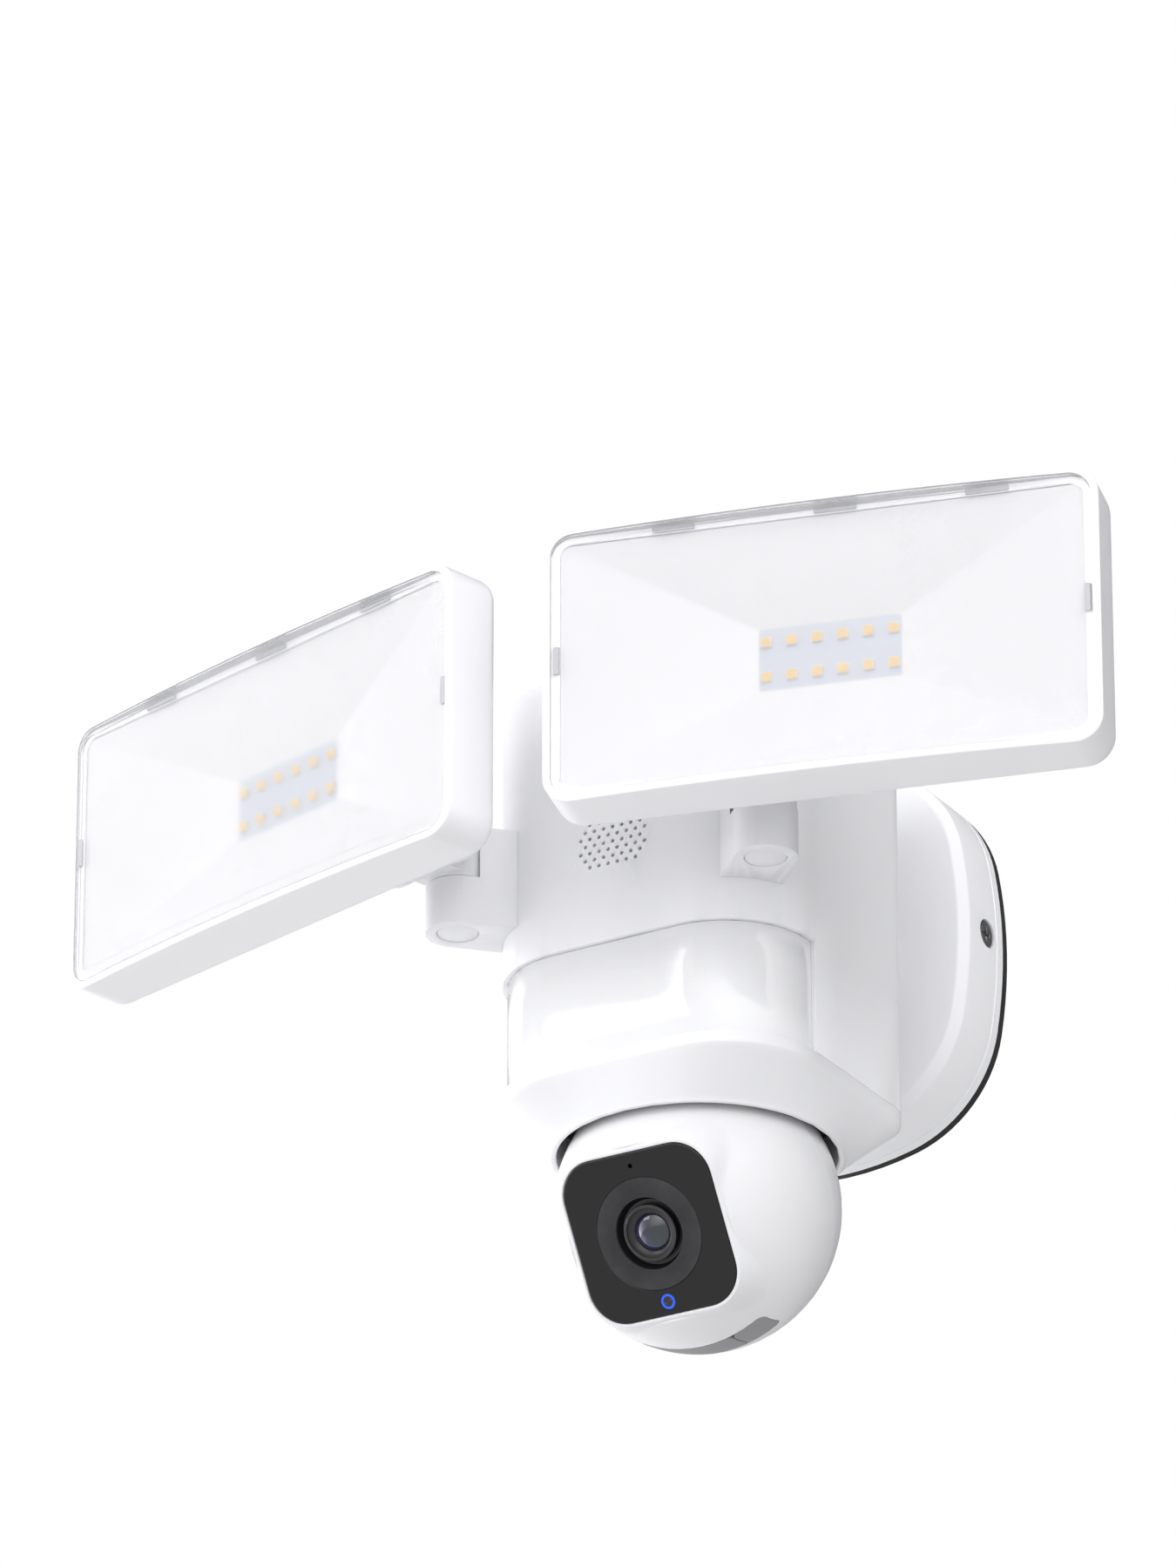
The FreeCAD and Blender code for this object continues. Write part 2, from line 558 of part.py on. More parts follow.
# ---------------------------------------------------------------- column
def build_column():
    """The column's shell, window, hatch and skirt."""
    housing = new_body("main_housing")
    low = "-skirt_top"
    solid = pad(housing, column_outline(sketch_on(housing, "XY_Plane", low), "0"),
                "column_top + skirt_top")
    top = number("column_top")
    soften(housing, "Fillet", solid, "top_round", lambda middle, along: near(middle.z, top))
    pocket(housing, column_outline(sketch_on(housing, "XY_Plane", low), "shell"),
           "column_top + skirt_top - shell")
    hatch = sketch_on(housing, "XZ_Plane", "column_back")
    round_box(hatch, "hatch_half", "(hatch_low + hatch_high) / 2", "hatch_corner",
              ("0", "(hatch_high - hatch_low) / 2"))
    pocket(housing, hatch, "shell")
    for across in ("", "-"):
        for z in ("hatch_screw_z", "-hatch_screw_z"):
            rib = sketch_on(housing, "XZ_Plane", "column_back + hatch_sink + hatch_plate")
            round_box(rib, "(column_half - shell / 2 - hatch_screw_x + 4) / 2", "4", "1",
                      (f"{across}(column_half - shell / 2 + hatch_screw_x - 4) / 2", z))
            pad(housing, rib, "10")
            pilot = sketch_on(housing, "XZ_Plane", "column_back")
            circles(pilot, (f"{across}hatch_screw_x", z, "1.5 + fit"))
            pocket(housing, pilot, "11")
    grille = sketch_on(housing, "XZ_Plane", "column_front - 2 * shell")
    holes = []
    for row, count in enumerate((6, 7, 8, 7, 8, 7, 6)):
        for step in range(count):
            holes.append((f"{step - (count - 1) / 2} * hole_pitch",
                          f"grille_z + {row - 3} * row_pitch", "hole_radius"))
    pocket(housing, circles(grille, *holes), "3 * shell")
    opening = sketch_on(housing, "XY_Plane", low)
    round_box(opening, "2 * column_half", "(column_front - window_end) / 2 + 5", "1",
              ("0", "-(column_front + window_end) / 2 - 5"))
    pocket(housing, opening, "skirt_top - window_top")

    window = new_body("sensor_window")
    height = "skirt_top - window_top"
    pad(window, column_outline(sketch_on(window, "XY_Plane", low), "window_sink"), height)
    pocket(window, column_outline(sketch_on(window, "XY_Plane", low),
                                  "window_sink + window_gauge"), height)
    behind = sketch_on(window, "XY_Plane", low)
    round_box(behind, "2 * column_half", "window_end / 2", "1", ("0", "-window_end / 2"))
    pocket(window, behind, height)

    plate = new_body("rear_hatch")
    panel = sketch_on(plate, "XZ_Plane", "column_back + hatch_sink")
    round_box(panel, "hatch_half - fit", "(hatch_low + hatch_high) / 2 - fit",
              "hatch_corner - fit", ("0", "(hatch_high - hatch_low) / 2"))
    pad(plate, panel, "hatch_plate")
    holes = [("0", "0", "neck_radius + fit")]
    for across in ("", "-"):
        for z in ("hatch_screw_z", "-hatch_screw_z"):
            holes.append((f"{across}hatch_screw_x", z, "1.5 + fit"))
    pocket(plate, circles(sketch_on(plate, "XZ_Plane", "column_back"), *holes), "2 * hatch_plate")

    screws = []
    for across in ("", "-"):
        for z in ("hatch_screw_z", "-hatch_screw_z"):
            at = (f"{across}hatch_screw_x", "-column_back - hatch_sink + 1.6", z)
            screws.append(screw("2.8", "1.6", "1.5", "hatch_plate + 6", at, DOWN_X))
    keep(group(*screws), "rear_hatch_screws")

    build_skirt()


def build_skirt():
    """The ring under the window, drawn in to the round mouth that the ball turns in."""
    skirt = new_body("column_skirt")
    pad(skirt, column_outline(sketch_on(skirt, "XY_Plane", "-skirt_edge"), "0"),
        "skirt_edge - skirt_top")
    rim = rim_outline(sketch_on(skirt, "XY_Plane", "-skirt_rim"), "rim_radius")
    body_loft(skirt, "AdditiveLoft",
              column_outline(sketch_on(skirt, "XY_Plane", "-skirt_edge"), "0"), rim)
    pocket(skirt, circles(sketch_on(skirt, "XY_Plane", "-skirt_rim - 1"),
                          ("0", "-ball_y", "mouth_radius")), "skirt_rim - skirt_edge + 1")
    pocket(skirt, column_outline(sketch_on(skirt, "XY_Plane", "-skirt_edge"), "skirt_wall + 3"),
           "skirt_edge - skirt_top")


def body_loft(body, kind, lower, upper):
    """A loft between two sketches of one body."""
    item = body.newObject(f"PartDesign::{kind}", kind)
    item.Profile = lower
    item.Sections = [upper]
    return item


def build_electronics():
    """Speaker, boards and sensor inside the column."""
    front = "-column_front + shell"
    keep(rod("mesh_radius", "mesh_gauge", ("0", f"{front} + mesh_gauge", "grille_z"), DOWN_X),
         "speaker_mesh")
    speaker = new_body("speaker")
    back = "column_front - shell - mesh_gauge - speaker_depth"
    pad(speaker, circles(sketch_on(speaker, "XZ_Plane", back),
                         ("0", "grille_z", "speaker_radius * 0.6")), "speaker_depth")
    pad(speaker, circles(sketch_on(speaker, "XZ_Plane", f"{back} + speaker_depth - 4"),
                         ("0", "grille_z", "speaker_radius")), "4")
    pocket(speaker, circles(sketch_on(speaker, "XZ_Plane", f"{back} + speaker_depth - 2"),
                            ("0", "grille_z", "speaker_radius - 2.5")), "2")
    for label, depth, half, low, high in (
            ("main_board", "column_front - 21", "column_half - 13", "-26", "hatch_high"),
            ("power_board", "column_back + 22", "column_half - 15", "-26", "hatch_high - 6")):
        board = new_body(label)
        pad(board, round_box(sketch_on(board, "XZ_Plane", depth), half,
                             f"(({high}) - ({low})) / 2", "2",
                             ("0", f"(({high}) + ({low})) / 2")), "1.6")
        sockets = sketch_on(board, "XZ_Plane", f"{depth} + 1.6")
        round_box(sockets, "12", "4", "0.6", ("-18", "34"))
        pad(board, sockets, "5")
        coils = sketch_on(board, "XZ_Plane", f"{depth} + 1.6")
        round_box(coils, "7", "7", "1", ("16", "32"))
        pad(board, coils, "4.5")
    sensor = new_body("motion_sensor")
    middle = "-(frame_low - frame_gauge + window_top) / 2"
    can = sketch_on(sensor, "XZ_Plane", "column_front - 14")
    pad(sensor, circles(can, ("0", middle, "4.6")), "4")
    pad(sensor, round_box(sketch_on(sensor, "XZ_Plane", "column_front - 16"), "16", "6", "1",
                          ("0", middle)), "2")


# ---------------------------------------------------------------- lights
def build_arm():
    """The right-hand light arm with its cap and bolt."""
    arm = new_body("right_light_arm")
    inwards = "web_reach * sqrt(2) / 2"
    side = "lug_radius * sqrt(2) / 2"
    x, y = "pivot_x", "-pivot_y"
    pad(arm, circles(sketch_on(arm, "XY_Plane", "-lug_low"), (x, y, "lug_radius")),
        "lug_low - lug_high")
    web = polygon(sketch_on(arm, "XY_Plane", "-lug_low"),
                  (f"{x} + {side}", f"{y} + {side}"),
                  (f"{x} - {inwards} + {side}", f"{y} + {inwards} + {side}"),
                  (f"{x} - {inwards} - {side}", f"{y} + {inwards} - {side}"),
                  (f"{x} - {side}", f"{y} - {side}"))
    pad(arm, web, "lug_low + web_high")
    pocket(arm, circles(sketch_on(arm, "XY_Plane", "-lug_high"), (x, y, "notch_radius")),
           "lug_high + web_high + 1")
    pocket(arm, column_outline(sketch_on(arm, "XY_Plane", "-lug_low - 1"), "0"),
           "lug_low + web_high + 2")
    pocket(arm, circles(sketch_on(arm, "XY_Plane", "-lug_low"), (x, y, "cap_radius + fit")),
           "cap_gauge")
    pocket(arm, circles(sketch_on(arm, "XY_Plane", "-lug_low"), (x, y, "bolt_head + fit")),
           "cap_gauge + bolt_head_high")
    pocket(arm, circles(sketch_on(arm, "XY_Plane", "-lug_low"), (x, y, "bolt_radius + running")),
           "lug_low")
    cap = keep(rod("cap_radius", "cap_gauge - 0.3", (x, y, "-lug_low + 0.3")), "right_pivot_cap")
    seat = "-lug_low + cap_gauge"
    bolt = keep(join(rod("bolt_head", "bolt_head_high", (x, y, seat)),
                     rod("bolt_radius", f"bolt_top - ({seat})", (x, y, seat))),
                "right_pivot_bolt")
    mirrored(arm, "left_light_arm")
    mirrored(cap, "left_pivot_cap")
    mirrored(bolt, "left_pivot_bolt")


LIGHT = {"at": ("light_x", "-light_y", "light_z"),
         "turn": FreeCAD.Rotation(FreeCAD.Vector(0, 0, 1), 1), "angle": "splay"}


def build_hinge():
    """The right-hand swivel and tilt pin, in the light's frame."""
    swivel = new_body("right_swivel", **LIGHT)
    low = "-lug_high + swivel_gap - light_z"
    barrel = sketch_on(swivel, "XY_Plane", low)
    circles(barrel, ("pivot_across", "pivot_back", "swivel_radius"))
    pad(swivel, barrel, "swivel_top + lug_high - swivel_gap")
    tongue = sketch_on(swivel, "YZ_Plane", "pivot_across")
    circles(tongue, ("hinge_back", "hinge_drop", "tongue_radius"))
    pad(swivel, tongue, "2 * tongue_half", both_ways=True)
    bridge = sketch_on(swivel, "YZ_Plane", "pivot_across")
    round_box(bridge, "hinge_reach / 2", "tongue_radius - 0.6", "0.5",
              (f"(hinge_back + pivot_back) / 2", "hinge_drop"))
    pad(swivel, bridge, "2 * tongue_half - 3", both_ways=True)
    bore = sketch_on(swivel, "YZ_Plane", "pivot_across")
    circles(bore, ("hinge_back", "hinge_drop", "pin_radius + running"))
    pocket(swivel, bore, "4 * tongue_half", both_ways=True)
    socket = sketch_on(swivel, "XY_Plane", low)
    circles(socket, ("pivot_across", "pivot_back", "bolt_radius + running"))
    pocket(swivel, socket, "lug_high - swivel_gap + bolt_top + swivel_gap")

    pin = new_body("right_tilt_pin", **LIGHT)
    axle = sketch_on(pin, "YZ_Plane", "pivot_across")
    circles(axle, ("hinge_back", "hinge_drop", "pin_radius"))
    pad(pin, axle, "2 * (tongue_half + ear_gap + ear_gauge)", both_ways=True)
    mirrored(swivel, "left_swivel")
    mirrored(pin, "left_tilt_pin")


def build_light():
    """The right-hand floodlight and its mirror image."""
    pieces = [build_light_housing()]
    half, rise = "lens_width / 2", "lens_height / 2"

    lens = new_body("right_light_lens", **LIGHT)
    sheet = sketch_on(lens, "XY_Plane")
    bowed(sheet, f"{half} - fit", "0", "lens_gauge", "lens_bow", "lens_bow")
    solid = pad(lens, sheet, "lens_height - 2 * fit", both_ways=True)
    soften(lens, "Fillet", solid, "lens_corner",
           lambda middle, along: near(abs(along.y), 1) and abs(middle.z) > 1)
    pieces.append(lens)

    seal = new_body("right_lens_seal", **LIGHT)
    ring = sketch_on(seal, "XZ_Plane", "-lens_gauge - seal_gauge")
    round_box(ring, f"{half} - 0.4", f"{rise} - 0.4", "lens_corner - 0.4")
    pad(seal, ring, "seal_gauge")
    hole = sketch_on(seal, "XZ_Plane", "-lens_gauge - seal_gauge")
    round_box(hole, f"{half} - seal_band", f"{rise} - seal_band", "lens_corner - seal_band")
    pocket(seal, hole, "seal_gauge")
    pieces.append(seal)

    tray = new_body("right_reflector", **LIGHT)
    start, stop = "-tray_front - seal_gauge", "-tray_front - seal_gauge - tray_depth"
    for kind, grow in (("AdditiveLoft", "tray_gauge"), ("SubtractiveLoft", "0")):
        wide = round_box(sketch_on(tray, "XZ_Plane", start), f"{half} - tray_border + ({grow})",
                         f"{rise} - tray_border + ({grow})", f"2.5 + {grow}")
        small = round_box(sketch_on(tray, "XZ_Plane", stop), f"board_width / 2 - 2 + ({grow})",
                          f"board_height / 2 - 2 + ({grow})", f"1 + {grow}")
        body_loft(tray, kind, wide, small)
    pieces.append(tray)

    board_front = "-tray_front - seal_gauge - tray_depth"
    board = new_body("right_led_board", **LIGHT)
    pad(board, round_box(sketch_on(board, "XZ_Plane", f"{board_front} - board_gauge"),
                         "board_width / 2", "board_height / 2", "1"), "board_gauge")
    pieces.append(board)

    chips = []
    for across in (-2.5, -1.5, -0.5, 0.5, 1.5, 2.5):
        for up in (-0.5, 0.5):
            chips.append(block(("led_side", "led_high", "led_side"),
                               (f"{across} * led_pitch - led_side / 2",
                                f"-({board_front}) - led_high",
                                f"{up} * led_row_pitch - led_side / 2")))
    pieces.append(keep(place(group(*chips), **LIGHT), "right_leds"))

    for piece in pieces:
        mirrored(piece, piece.Label.replace("right", "left"))


def build_light_housing():
    """A bowed box that is open at the front, with two hinge ears at the back."""
    housing = new_body("right_light_housing", **LIGHT)
    half, rise = "lens_width / 2 + light_rim", "lens_height / 2 + light_rim"
    plan = sketch_on(housing, "XY_Plane")
    bowed(plan, half, "0", "light_depth", "lens_bow")
    solid = pad(housing, plan, f"2 * ({rise})", both_ways=True)
    rounded_box = soften(housing, "Fillet", solid, "light_corner",
                         lambda middle, along: near(abs(along.y), 1))
    back = number("light_depth")
    soften(housing, "Fillet", rounded_box, "light_back_round",
           lambda middle, along: near(middle.y, back))
    well = sketch_on(housing, "XZ_Plane", "-lens_gauge - seal_gauge")
    round_box(well, "lens_width / 2", "lens_height / 2", "lens_corner")
    pocket(housing, well, "30")
    inside = sketch_on(housing, "XZ_Plane", "light_floor - light_depth")
    round_box(inside, "lens_width / 2 - seal_band", "lens_height / 2 - seal_band",
              "lens_corner - seal_band")
    pocket(housing, inside, "30")
    for side in ("", "-"):
        ear_at = f"pivot_across + {side}(tongue_half + ear_gap + ear_gauge / 2)"
        disc = sketch_on(housing, "YZ_Plane", ear_at)
        circles(disc, ("hinge_back", "hinge_drop", "ear_radius"))
        pad(housing, disc, "ear_gauge", both_ways=True)
        cheek = sketch_on(housing, "YZ_Plane", ear_at)
        reach = f"(hinge_back - light_depth + 1) / 2"
        round_box(cheek, reach, "ear_radius - 0.02", "0.5", (f"light_depth - 1 + {reach}",
                                                              "hinge_drop"))
        pad(housing, cheek, "ear_gauge", both_ways=True)
    bore = sketch_on(housing, "YZ_Plane", "pivot_across")
    circles(bore, ("hinge_back", "hinge_drop", "pin_radius + fit"))
    pocket(housing, bore, "4 * (tongue_half + ear_gauge)", both_ways=True)
    return housing


# ---------------------------------------------------------------- pan drive
def build_pan():
    """The pan frame, bearing and motor in the column, and the turret that the ball hangs from."""
    x, y = "0", "-ball_y"
    frame = new_body("pan_frame")
    pad(frame, column_outline(sketch_on(frame, "XY_Plane", "-frame_low"),
                              "window_sink + window_gauge + 0.3"), "frame_gauge")
    pocket(frame, circles(sketch_on(frame, "XY_Plane", "-frame_low"),
                          (x, y, "shaft_radius + 1")), "frame_gauge")
    bearing_low = "-turret_high + bearing_gap"
    keep(cut(rod("bearing_outer", f"-frame_low - ({bearing_low})", (x, y, bearing_low)),
             rod("bearing_inner", f"-frame_low - ({bearing_low})", (x, y, bearing_low))),
         "pan_bearing")
    motor_low = "-frame_low + frame_gauge"
    keep(cut(rod("motor_radius", "motor_high", (x, y, motor_low)),
             rod("shaft_radius + fit", "motor_high", (x, y, motor_low))), "pan_motor")
    keep(rod("shaft_radius", "turret_low - shaft_top", (x, y, "-turret_low")), "pan_shaft")

    turret = new_body("pan_turret")
    pad(turret, circles(sketch_on(turret, "XY_Plane", "-turret_low"), (x, y, "turret_radius")),
        "turret_low - turret_high")
    stem = sketch_on(turret, "XY_Plane", "-ball_z")
    round_box(stem, "stem_half", "stem_deep", "2", (x, y))
    pad(turret, stem, "ball_z - turret_low + 1")
    boss = sketch_on(turret, "YZ_Plane")
    circles(boss, (y, "-ball_z", "stem_boss"))
    pad(turret, boss, "2 * stem_half", both_ways=True)
    eye = sketch_on(turret, "YZ_Plane")
    circles(eye, (y, "-ball_z", "shaft_radius + 0.02"))
    pocket(turret, eye, "4 * stem_half", both_ways=True)
    socket = sketch_on(turret, "XY_Plane", "-turret_low")
    circles(socket, (x, y, "shaft_radius + 0.02"))
    pocket(turret, socket, "turret_low - turret_high")
    keep(rod("shaft_radius", "2 * tilt_half", ("-tilt_half", y, "-ball_z"), ALONG_X),
         "tilt_shaft")


# ---------------------------------------------------------------- camera ball
BALL = {"at": ("0", "-ball_y", "-ball_z"),
        "turn": FreeCAD.Rotation(FreeCAD.Vector(1, 0, 0), 1), "angle": "ball_pitch"}


def sphere(radius):
    """A sphere about the ball's centre, with its poles at the front and the back."""
    return place(bind(DOC.addObject("Part::Sphere", "Sphere"), Radius=radius), turn=DOWN_X)


def stem_slot():
    """The wedge of the ball's top that the turret's stem sweeps as the ball tilts."""
    wedge = DOC.addObject("Part::Cylinder", "Wedge")
    bind(wedge, Radius="ball_radius + 5", Height="2 * slot_half", Angle="slot_back + slot_front")
    # The cylinder's axis lies along X; its wedge starts at the slot's back end.
    start = number("180 - ball_pitch - slot_back")
    lay = FreeCAD.Rotation(FreeCAD.Vector(0, 1, 0), 90)
    spin = FreeCAD.Rotation(FreeCAD.Vector(1, 0, 0), start)
    wedge.Placement = FreeCAD.Placement(FreeCAD.Vector(-number("slot_half"), 0, 0), spin * lay)
    return wedge


def build_ball():
    """The camera ball's shells and everything that tilts with them, in the lens's own frame."""
    reach = "2 * ball_radius"
    boss = new_body()
    boss_sketch = sketch_on(boss, "XZ_Plane", "10")
    round_box(boss_sketch, "face_half + face_lip", "face_half + face_lip",
              "face_corner + face_lip")
    pad(boss, boss_sketch, "face_front - face_sink - 10")
    recess = new_body()
    pad(recess, round_box(sketch_on(recess, "XZ_Plane", "face_front - face_gauge"),
                          "face_half + fit", "face_half + fit", "face_corner + fit"),
        "ball_radius / 2")
    inner_boss = new_body()
    pad(inner_boss, round_box(sketch_on(inner_boss, "XZ_Plane", "5"), "face_half - 2.2",
                              "face_half - 2.2", "face_corner - 2.2"), "30")
    front = block((reach, "ball_radius + ball_split", reach),
                  ("-ball_radius", "-ball_radius", "-ball_radius"))
    back = block((reach, "ball_radius - ball_split", reach),
                 ("-ball_radius", "ball_split", "-ball_radius"))
    pit = cut(flap_blank("-flap_end", "flap_end", "flap_gap"),
              sphere("ball_radius - flap_gauge - button_travel - 0.1"))
    hollow = cut(join(sphere("ball_radius"), boss), sphere("ball_radius - ball_wall"), recess,
                 inner_boss, stem_slot(), pit)
    keep(place(common(hollow, front), **BALL), "ball_front_shell")
    hollow = cut(sphere("ball_radius"), sphere("ball_radius - ball_wall"), stem_slot())
    keep(place(common(hollow, back), **BALL), "ball_rear_shell")

    for label, low, high in (("port_flap", "-flap_end", "flap_split - flap_gap"),
                             ("sync_button", "flap_split + flap_gap", "flap_end")):
        skin = cut(common(sphere("ball_radius - 0.05"), flap_blank(low, high, "0")),
                   sphere("ball_radius - flap_gauge"))
        keep(place(skin, **BALL), label)
    build_camera()
    build_tilt()


def flap_blank(low, high, grow):
    """A slab across the ball's surface at the flap, grown by a gap and rounded at its ends."""
    blank = new_body()
    slab = sketch_on(blank, "XY_Plane", "-ball_radius - 2")
    round_box(slab, f"(({high}) - ({low})) / 2 + {grow}", f"flap_half + {grow}", f"2.5 + {grow}",
              (f"(({high}) + ({low})) / 2", "0"))
    pad(blank, slab, "12")
    return place(group(blank), turn=FreeCAD.Rotation(FreeCAD.Vector(1, 0, 0), 1),
                 angle="flap_angle - 90")


def common(*shapes):
    """What some shapes share."""
    item = DOC.addObject("Part::MultiCommon", "Common")
    item.Shapes = list(shapes)
    return item


def build_camera():
    """Face plate, lens stack, board, indicator and microphone."""
    plate = new_body("face_plate", **BALL)
    pad(plate, round_box(sketch_on(plate, "XZ_Plane", "face_front - face_gauge"), "face_half",
                         "face_half", "face_corner"), "face_gauge")
    holes = (("0", "0", "bezel_radius + running"), ("0", "-detail_z", "ring_radius + running"),
             ("0", "detail_z", "mic_hole"))
    pocket(plate, circles(sketch_on(plate, "XZ_Plane"), *holes), "2 * face_front")

    bezel = new_body("lens_bezel", **BALL)
    profile = sketch_on(bezel, "YZ_Plane")
    polygon(profile, ("-face_front + face_gauge + 2", "well_radius - 1.8"),
            ("-face_front + face_gauge + 2", "bezel_radius - 1.6"),
            ("-face_front + 0.25", "bezel_radius - 1.6"),
            ("-face_front + 0.25", "bezel_radius"),
            ("-face_front + 0.02", "bezel_radius"),
            ("-face_front + 0.02", "well_radius"),
            ("-face_front + well_depth - 0.2", "well_radius - 1.8"))
    revolve(bezel, profile, "H_Axis")

    barrel = new_body("lens_barrel", **BALL)
    profile = sketch_on(barrel, "YZ_Plane")
    well = "-face_front + well_depth"
    polygon(profile, ("-face_front + 14", "0"), ("-face_front + 14", "barrel_radius + 1.2"),
            (well, "barrel_radius + 1.2"), (well, "barrel_radius"),
            (f"{well} - 2.6", "barrel_radius"), (f"{well} - 2.6", "barrel_radius - 1.1"),
            (f"{well} - 1.9", "barrel_radius - 1.1"), (f"{well} - 1.9", "barrel_radius - 2.1"),
            (f"{well} - 1.2", "glass_radius + 0.1"), (f"{well} + 0.4", "glass_radius + 0.1"),
            (f"{well} + 0.4", "0"))
    revolve(barrel, profile, "H_Axis")

    glass = cut(place(sphere("glass_radius * 1.6"), ("0", "-face_front + well_depth - 1 + "
                                                     "glass_radius * 1.27", "0")),
                block(("60", "60", "60"), ("-30", "-face_front + well_depth + 0.2", "-30")))
    clear = common(glass, rod("glass_radius", "40", ("0", "0", "0"), DOWN_X))
    keep(place(clear, **BALL), "lens_glass")

    board = new_body("sensor_board", **BALL)
    pad(board, round_box(sketch_on(board, "XZ_Plane", "face_front - 15.6"), "17", "17", "1.5"),
        "1.6")
    ring_at = ("0", "-face_front + face_gauge", "-detail_z")
    ring = cut(rod("ring_radius", "face_gauge", ring_at, DOWN_X),
               rod("ring_hole", "face_gauge", ring_at, DOWN_X))
    keep(place(ring, **BALL), "status_ring")
    capsule = rod("1.5", "2.2", ("0", "-face_front + face_gauge + 2.2", "detail_z"), DOWN_X)
    keep(place(group(capsule), **BALL), "microphone")


def build_tilt():
    """The tilt motor on the shaft and the two bushes that carry the ball."""
    motor_start = "stem_half + 1"
    motor = cut(rod("tilt_motor_radius", "tilt_motor_long", (motor_start, "0", "0"), ALONG_X),
                rod("shaft_radius + fit", "tilt_motor_long", (motor_start, "0", "0"), ALONG_X))
    keep(place(motor, **BALL), "tilt_motor")
    bush_length = "sqrt((ball_radius - ball_wall)^2 - bush_radius^2) - fit - bush_start"
    bush = cut(rod("bush_radius", bush_length, ("bush_start", "0", "0"), ALONG_X),
               rod("shaft_radius + running", bush_length, ("bush_start", "0", "0"), ALONG_X))
    keep(place(group(bush, mirrored(bush)), **BALL), "tilt_bushes")


# ---------------------------------------------------------------- build, check and write
def check(item):
    """Stop with a plain message if an object failed or its shape is not sound."""
    if {"Invalid", "Error"} & set(item.State):
        raise RuntimeError(f"{item.Label} ({item.Name}) failed: {item.State}")


def main():
    """Build every piece, check it and write one file for each."""
    build_base()
    build_column()
    build_electronics()
    build_arm()
    build_hinge()
    build_light()
    build_pan()
    build_ball()
    DOC.recompute()
    for item in DOC.Objects:
        check(item)
    os.makedirs("parts", exist_ok=True)
    for node in NODES:
        if node.Shape.isNull() or not node.Shape.isValid() or not node.Shape.Solids:
            raise RuntimeError(f"{node.Label} has no sound shape")
        node.Shape.exportStep(os.path.join("parts", f"{node.Label}.step"))
        box = node.Shape.BoundBox
        print(f"{node.Label}: {len(node.Shape.Solids)} solid(s), {node.Shape.Volume:.0f} mm3, "
              f"x {box.XMin:.1f}..{box.XMax:.1f}, y {box.YMin:.1f}..{box.YMax:.1f}, "
              f"z {box.ZMin:.1f}..{box.ZMax:.1f}")


main()
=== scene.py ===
import json
import logging
import math
from collections.abc import Callable, Iterable, Sequence
from dataclasses import dataclass, field
from enum import Enum

import bmesh
import bpy
from mathutils import Matrix, Vector


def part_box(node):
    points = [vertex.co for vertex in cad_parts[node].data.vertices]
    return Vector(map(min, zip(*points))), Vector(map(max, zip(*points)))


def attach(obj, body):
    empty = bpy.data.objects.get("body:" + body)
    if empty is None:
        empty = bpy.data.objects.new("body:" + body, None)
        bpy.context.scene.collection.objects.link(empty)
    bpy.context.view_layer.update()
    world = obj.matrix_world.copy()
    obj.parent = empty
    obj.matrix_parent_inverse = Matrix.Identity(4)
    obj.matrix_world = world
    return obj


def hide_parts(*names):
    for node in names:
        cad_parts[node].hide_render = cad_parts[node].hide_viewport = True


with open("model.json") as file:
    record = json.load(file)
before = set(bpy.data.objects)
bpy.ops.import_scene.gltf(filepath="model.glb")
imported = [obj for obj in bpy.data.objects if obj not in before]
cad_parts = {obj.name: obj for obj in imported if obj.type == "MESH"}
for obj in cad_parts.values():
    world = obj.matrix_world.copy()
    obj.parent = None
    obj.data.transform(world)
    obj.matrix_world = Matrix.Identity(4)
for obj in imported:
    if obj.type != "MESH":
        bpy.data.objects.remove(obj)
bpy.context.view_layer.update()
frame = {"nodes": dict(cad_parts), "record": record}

LOG = logging.getLogger("floodlight_camera")
MM = 0.001
WORLD = Matrix.Scale(MM, 4)

Point = tuple[float, float]
Corner = tuple[float, float, float]
Ring = list[Vector]
NewGroup = tuple[bpy.types.NodeTree, bpy.types.Node, bpy.types.Node]


class Side(Enum):
    """Which of the two mirrored floodlights a piece belongs to."""

    RIGHT = "right"
    LEFT = "left"

    @property
    def sign(self) -> int:
        """+1 for the right-hand light and -1 for the left-hand one."""
        return 1 if self is Side.RIGHT else -1


# ------------------------------------------------------------------ outlines and rings
def rounded_outline(corners: Sequence[Corner], arc_steps: int = 12,
                    side_steps: int = 1) -> list[Point]:
    """Points round a convex outline whose corners are arcs.

    Args:
        corners: x, y and radius of each corner, anticlockwise; a radius of 0 is one sharp point.
        arc_steps: spans in each corner's arc.
        side_steps: spans in each straight side.

    Returns:
        The outline's points, in order.
    """
    points: list[Point] = []
    count = len(corners)
    for index, (x, y, radius) in enumerate(corners):
        here = Vector((x, y))
        before = (Vector(corners[index - 1][:2]) - here).normalized()
        after = (Vector(corners[(index + 1) % count][:2]) - here).normalized()
        arc: list[Vector] = [here]
        if radius > 0:
            half = before.angle(after) / 2
            centre = here + (before + after).normalized() * (radius / math.sin(half))
            start = here + before * (radius / math.tan(half)) - centre
            turn = math.pi - 2 * half
            arc = []
            for step in range(arc_steps + 1):
                angle = turn * step / arc_steps
                arc.append(centre + Matrix.Rotation(angle, 2) @ start)
        if points and side_steps > 1:
            points += between(points[-1], (arc[0].x, arc[0].y), side_steps)
        points += [(spot.x, spot.y) for spot in arc]
    if side_steps > 1:
        points += between(points[-1], points[0], side_steps)
    return points


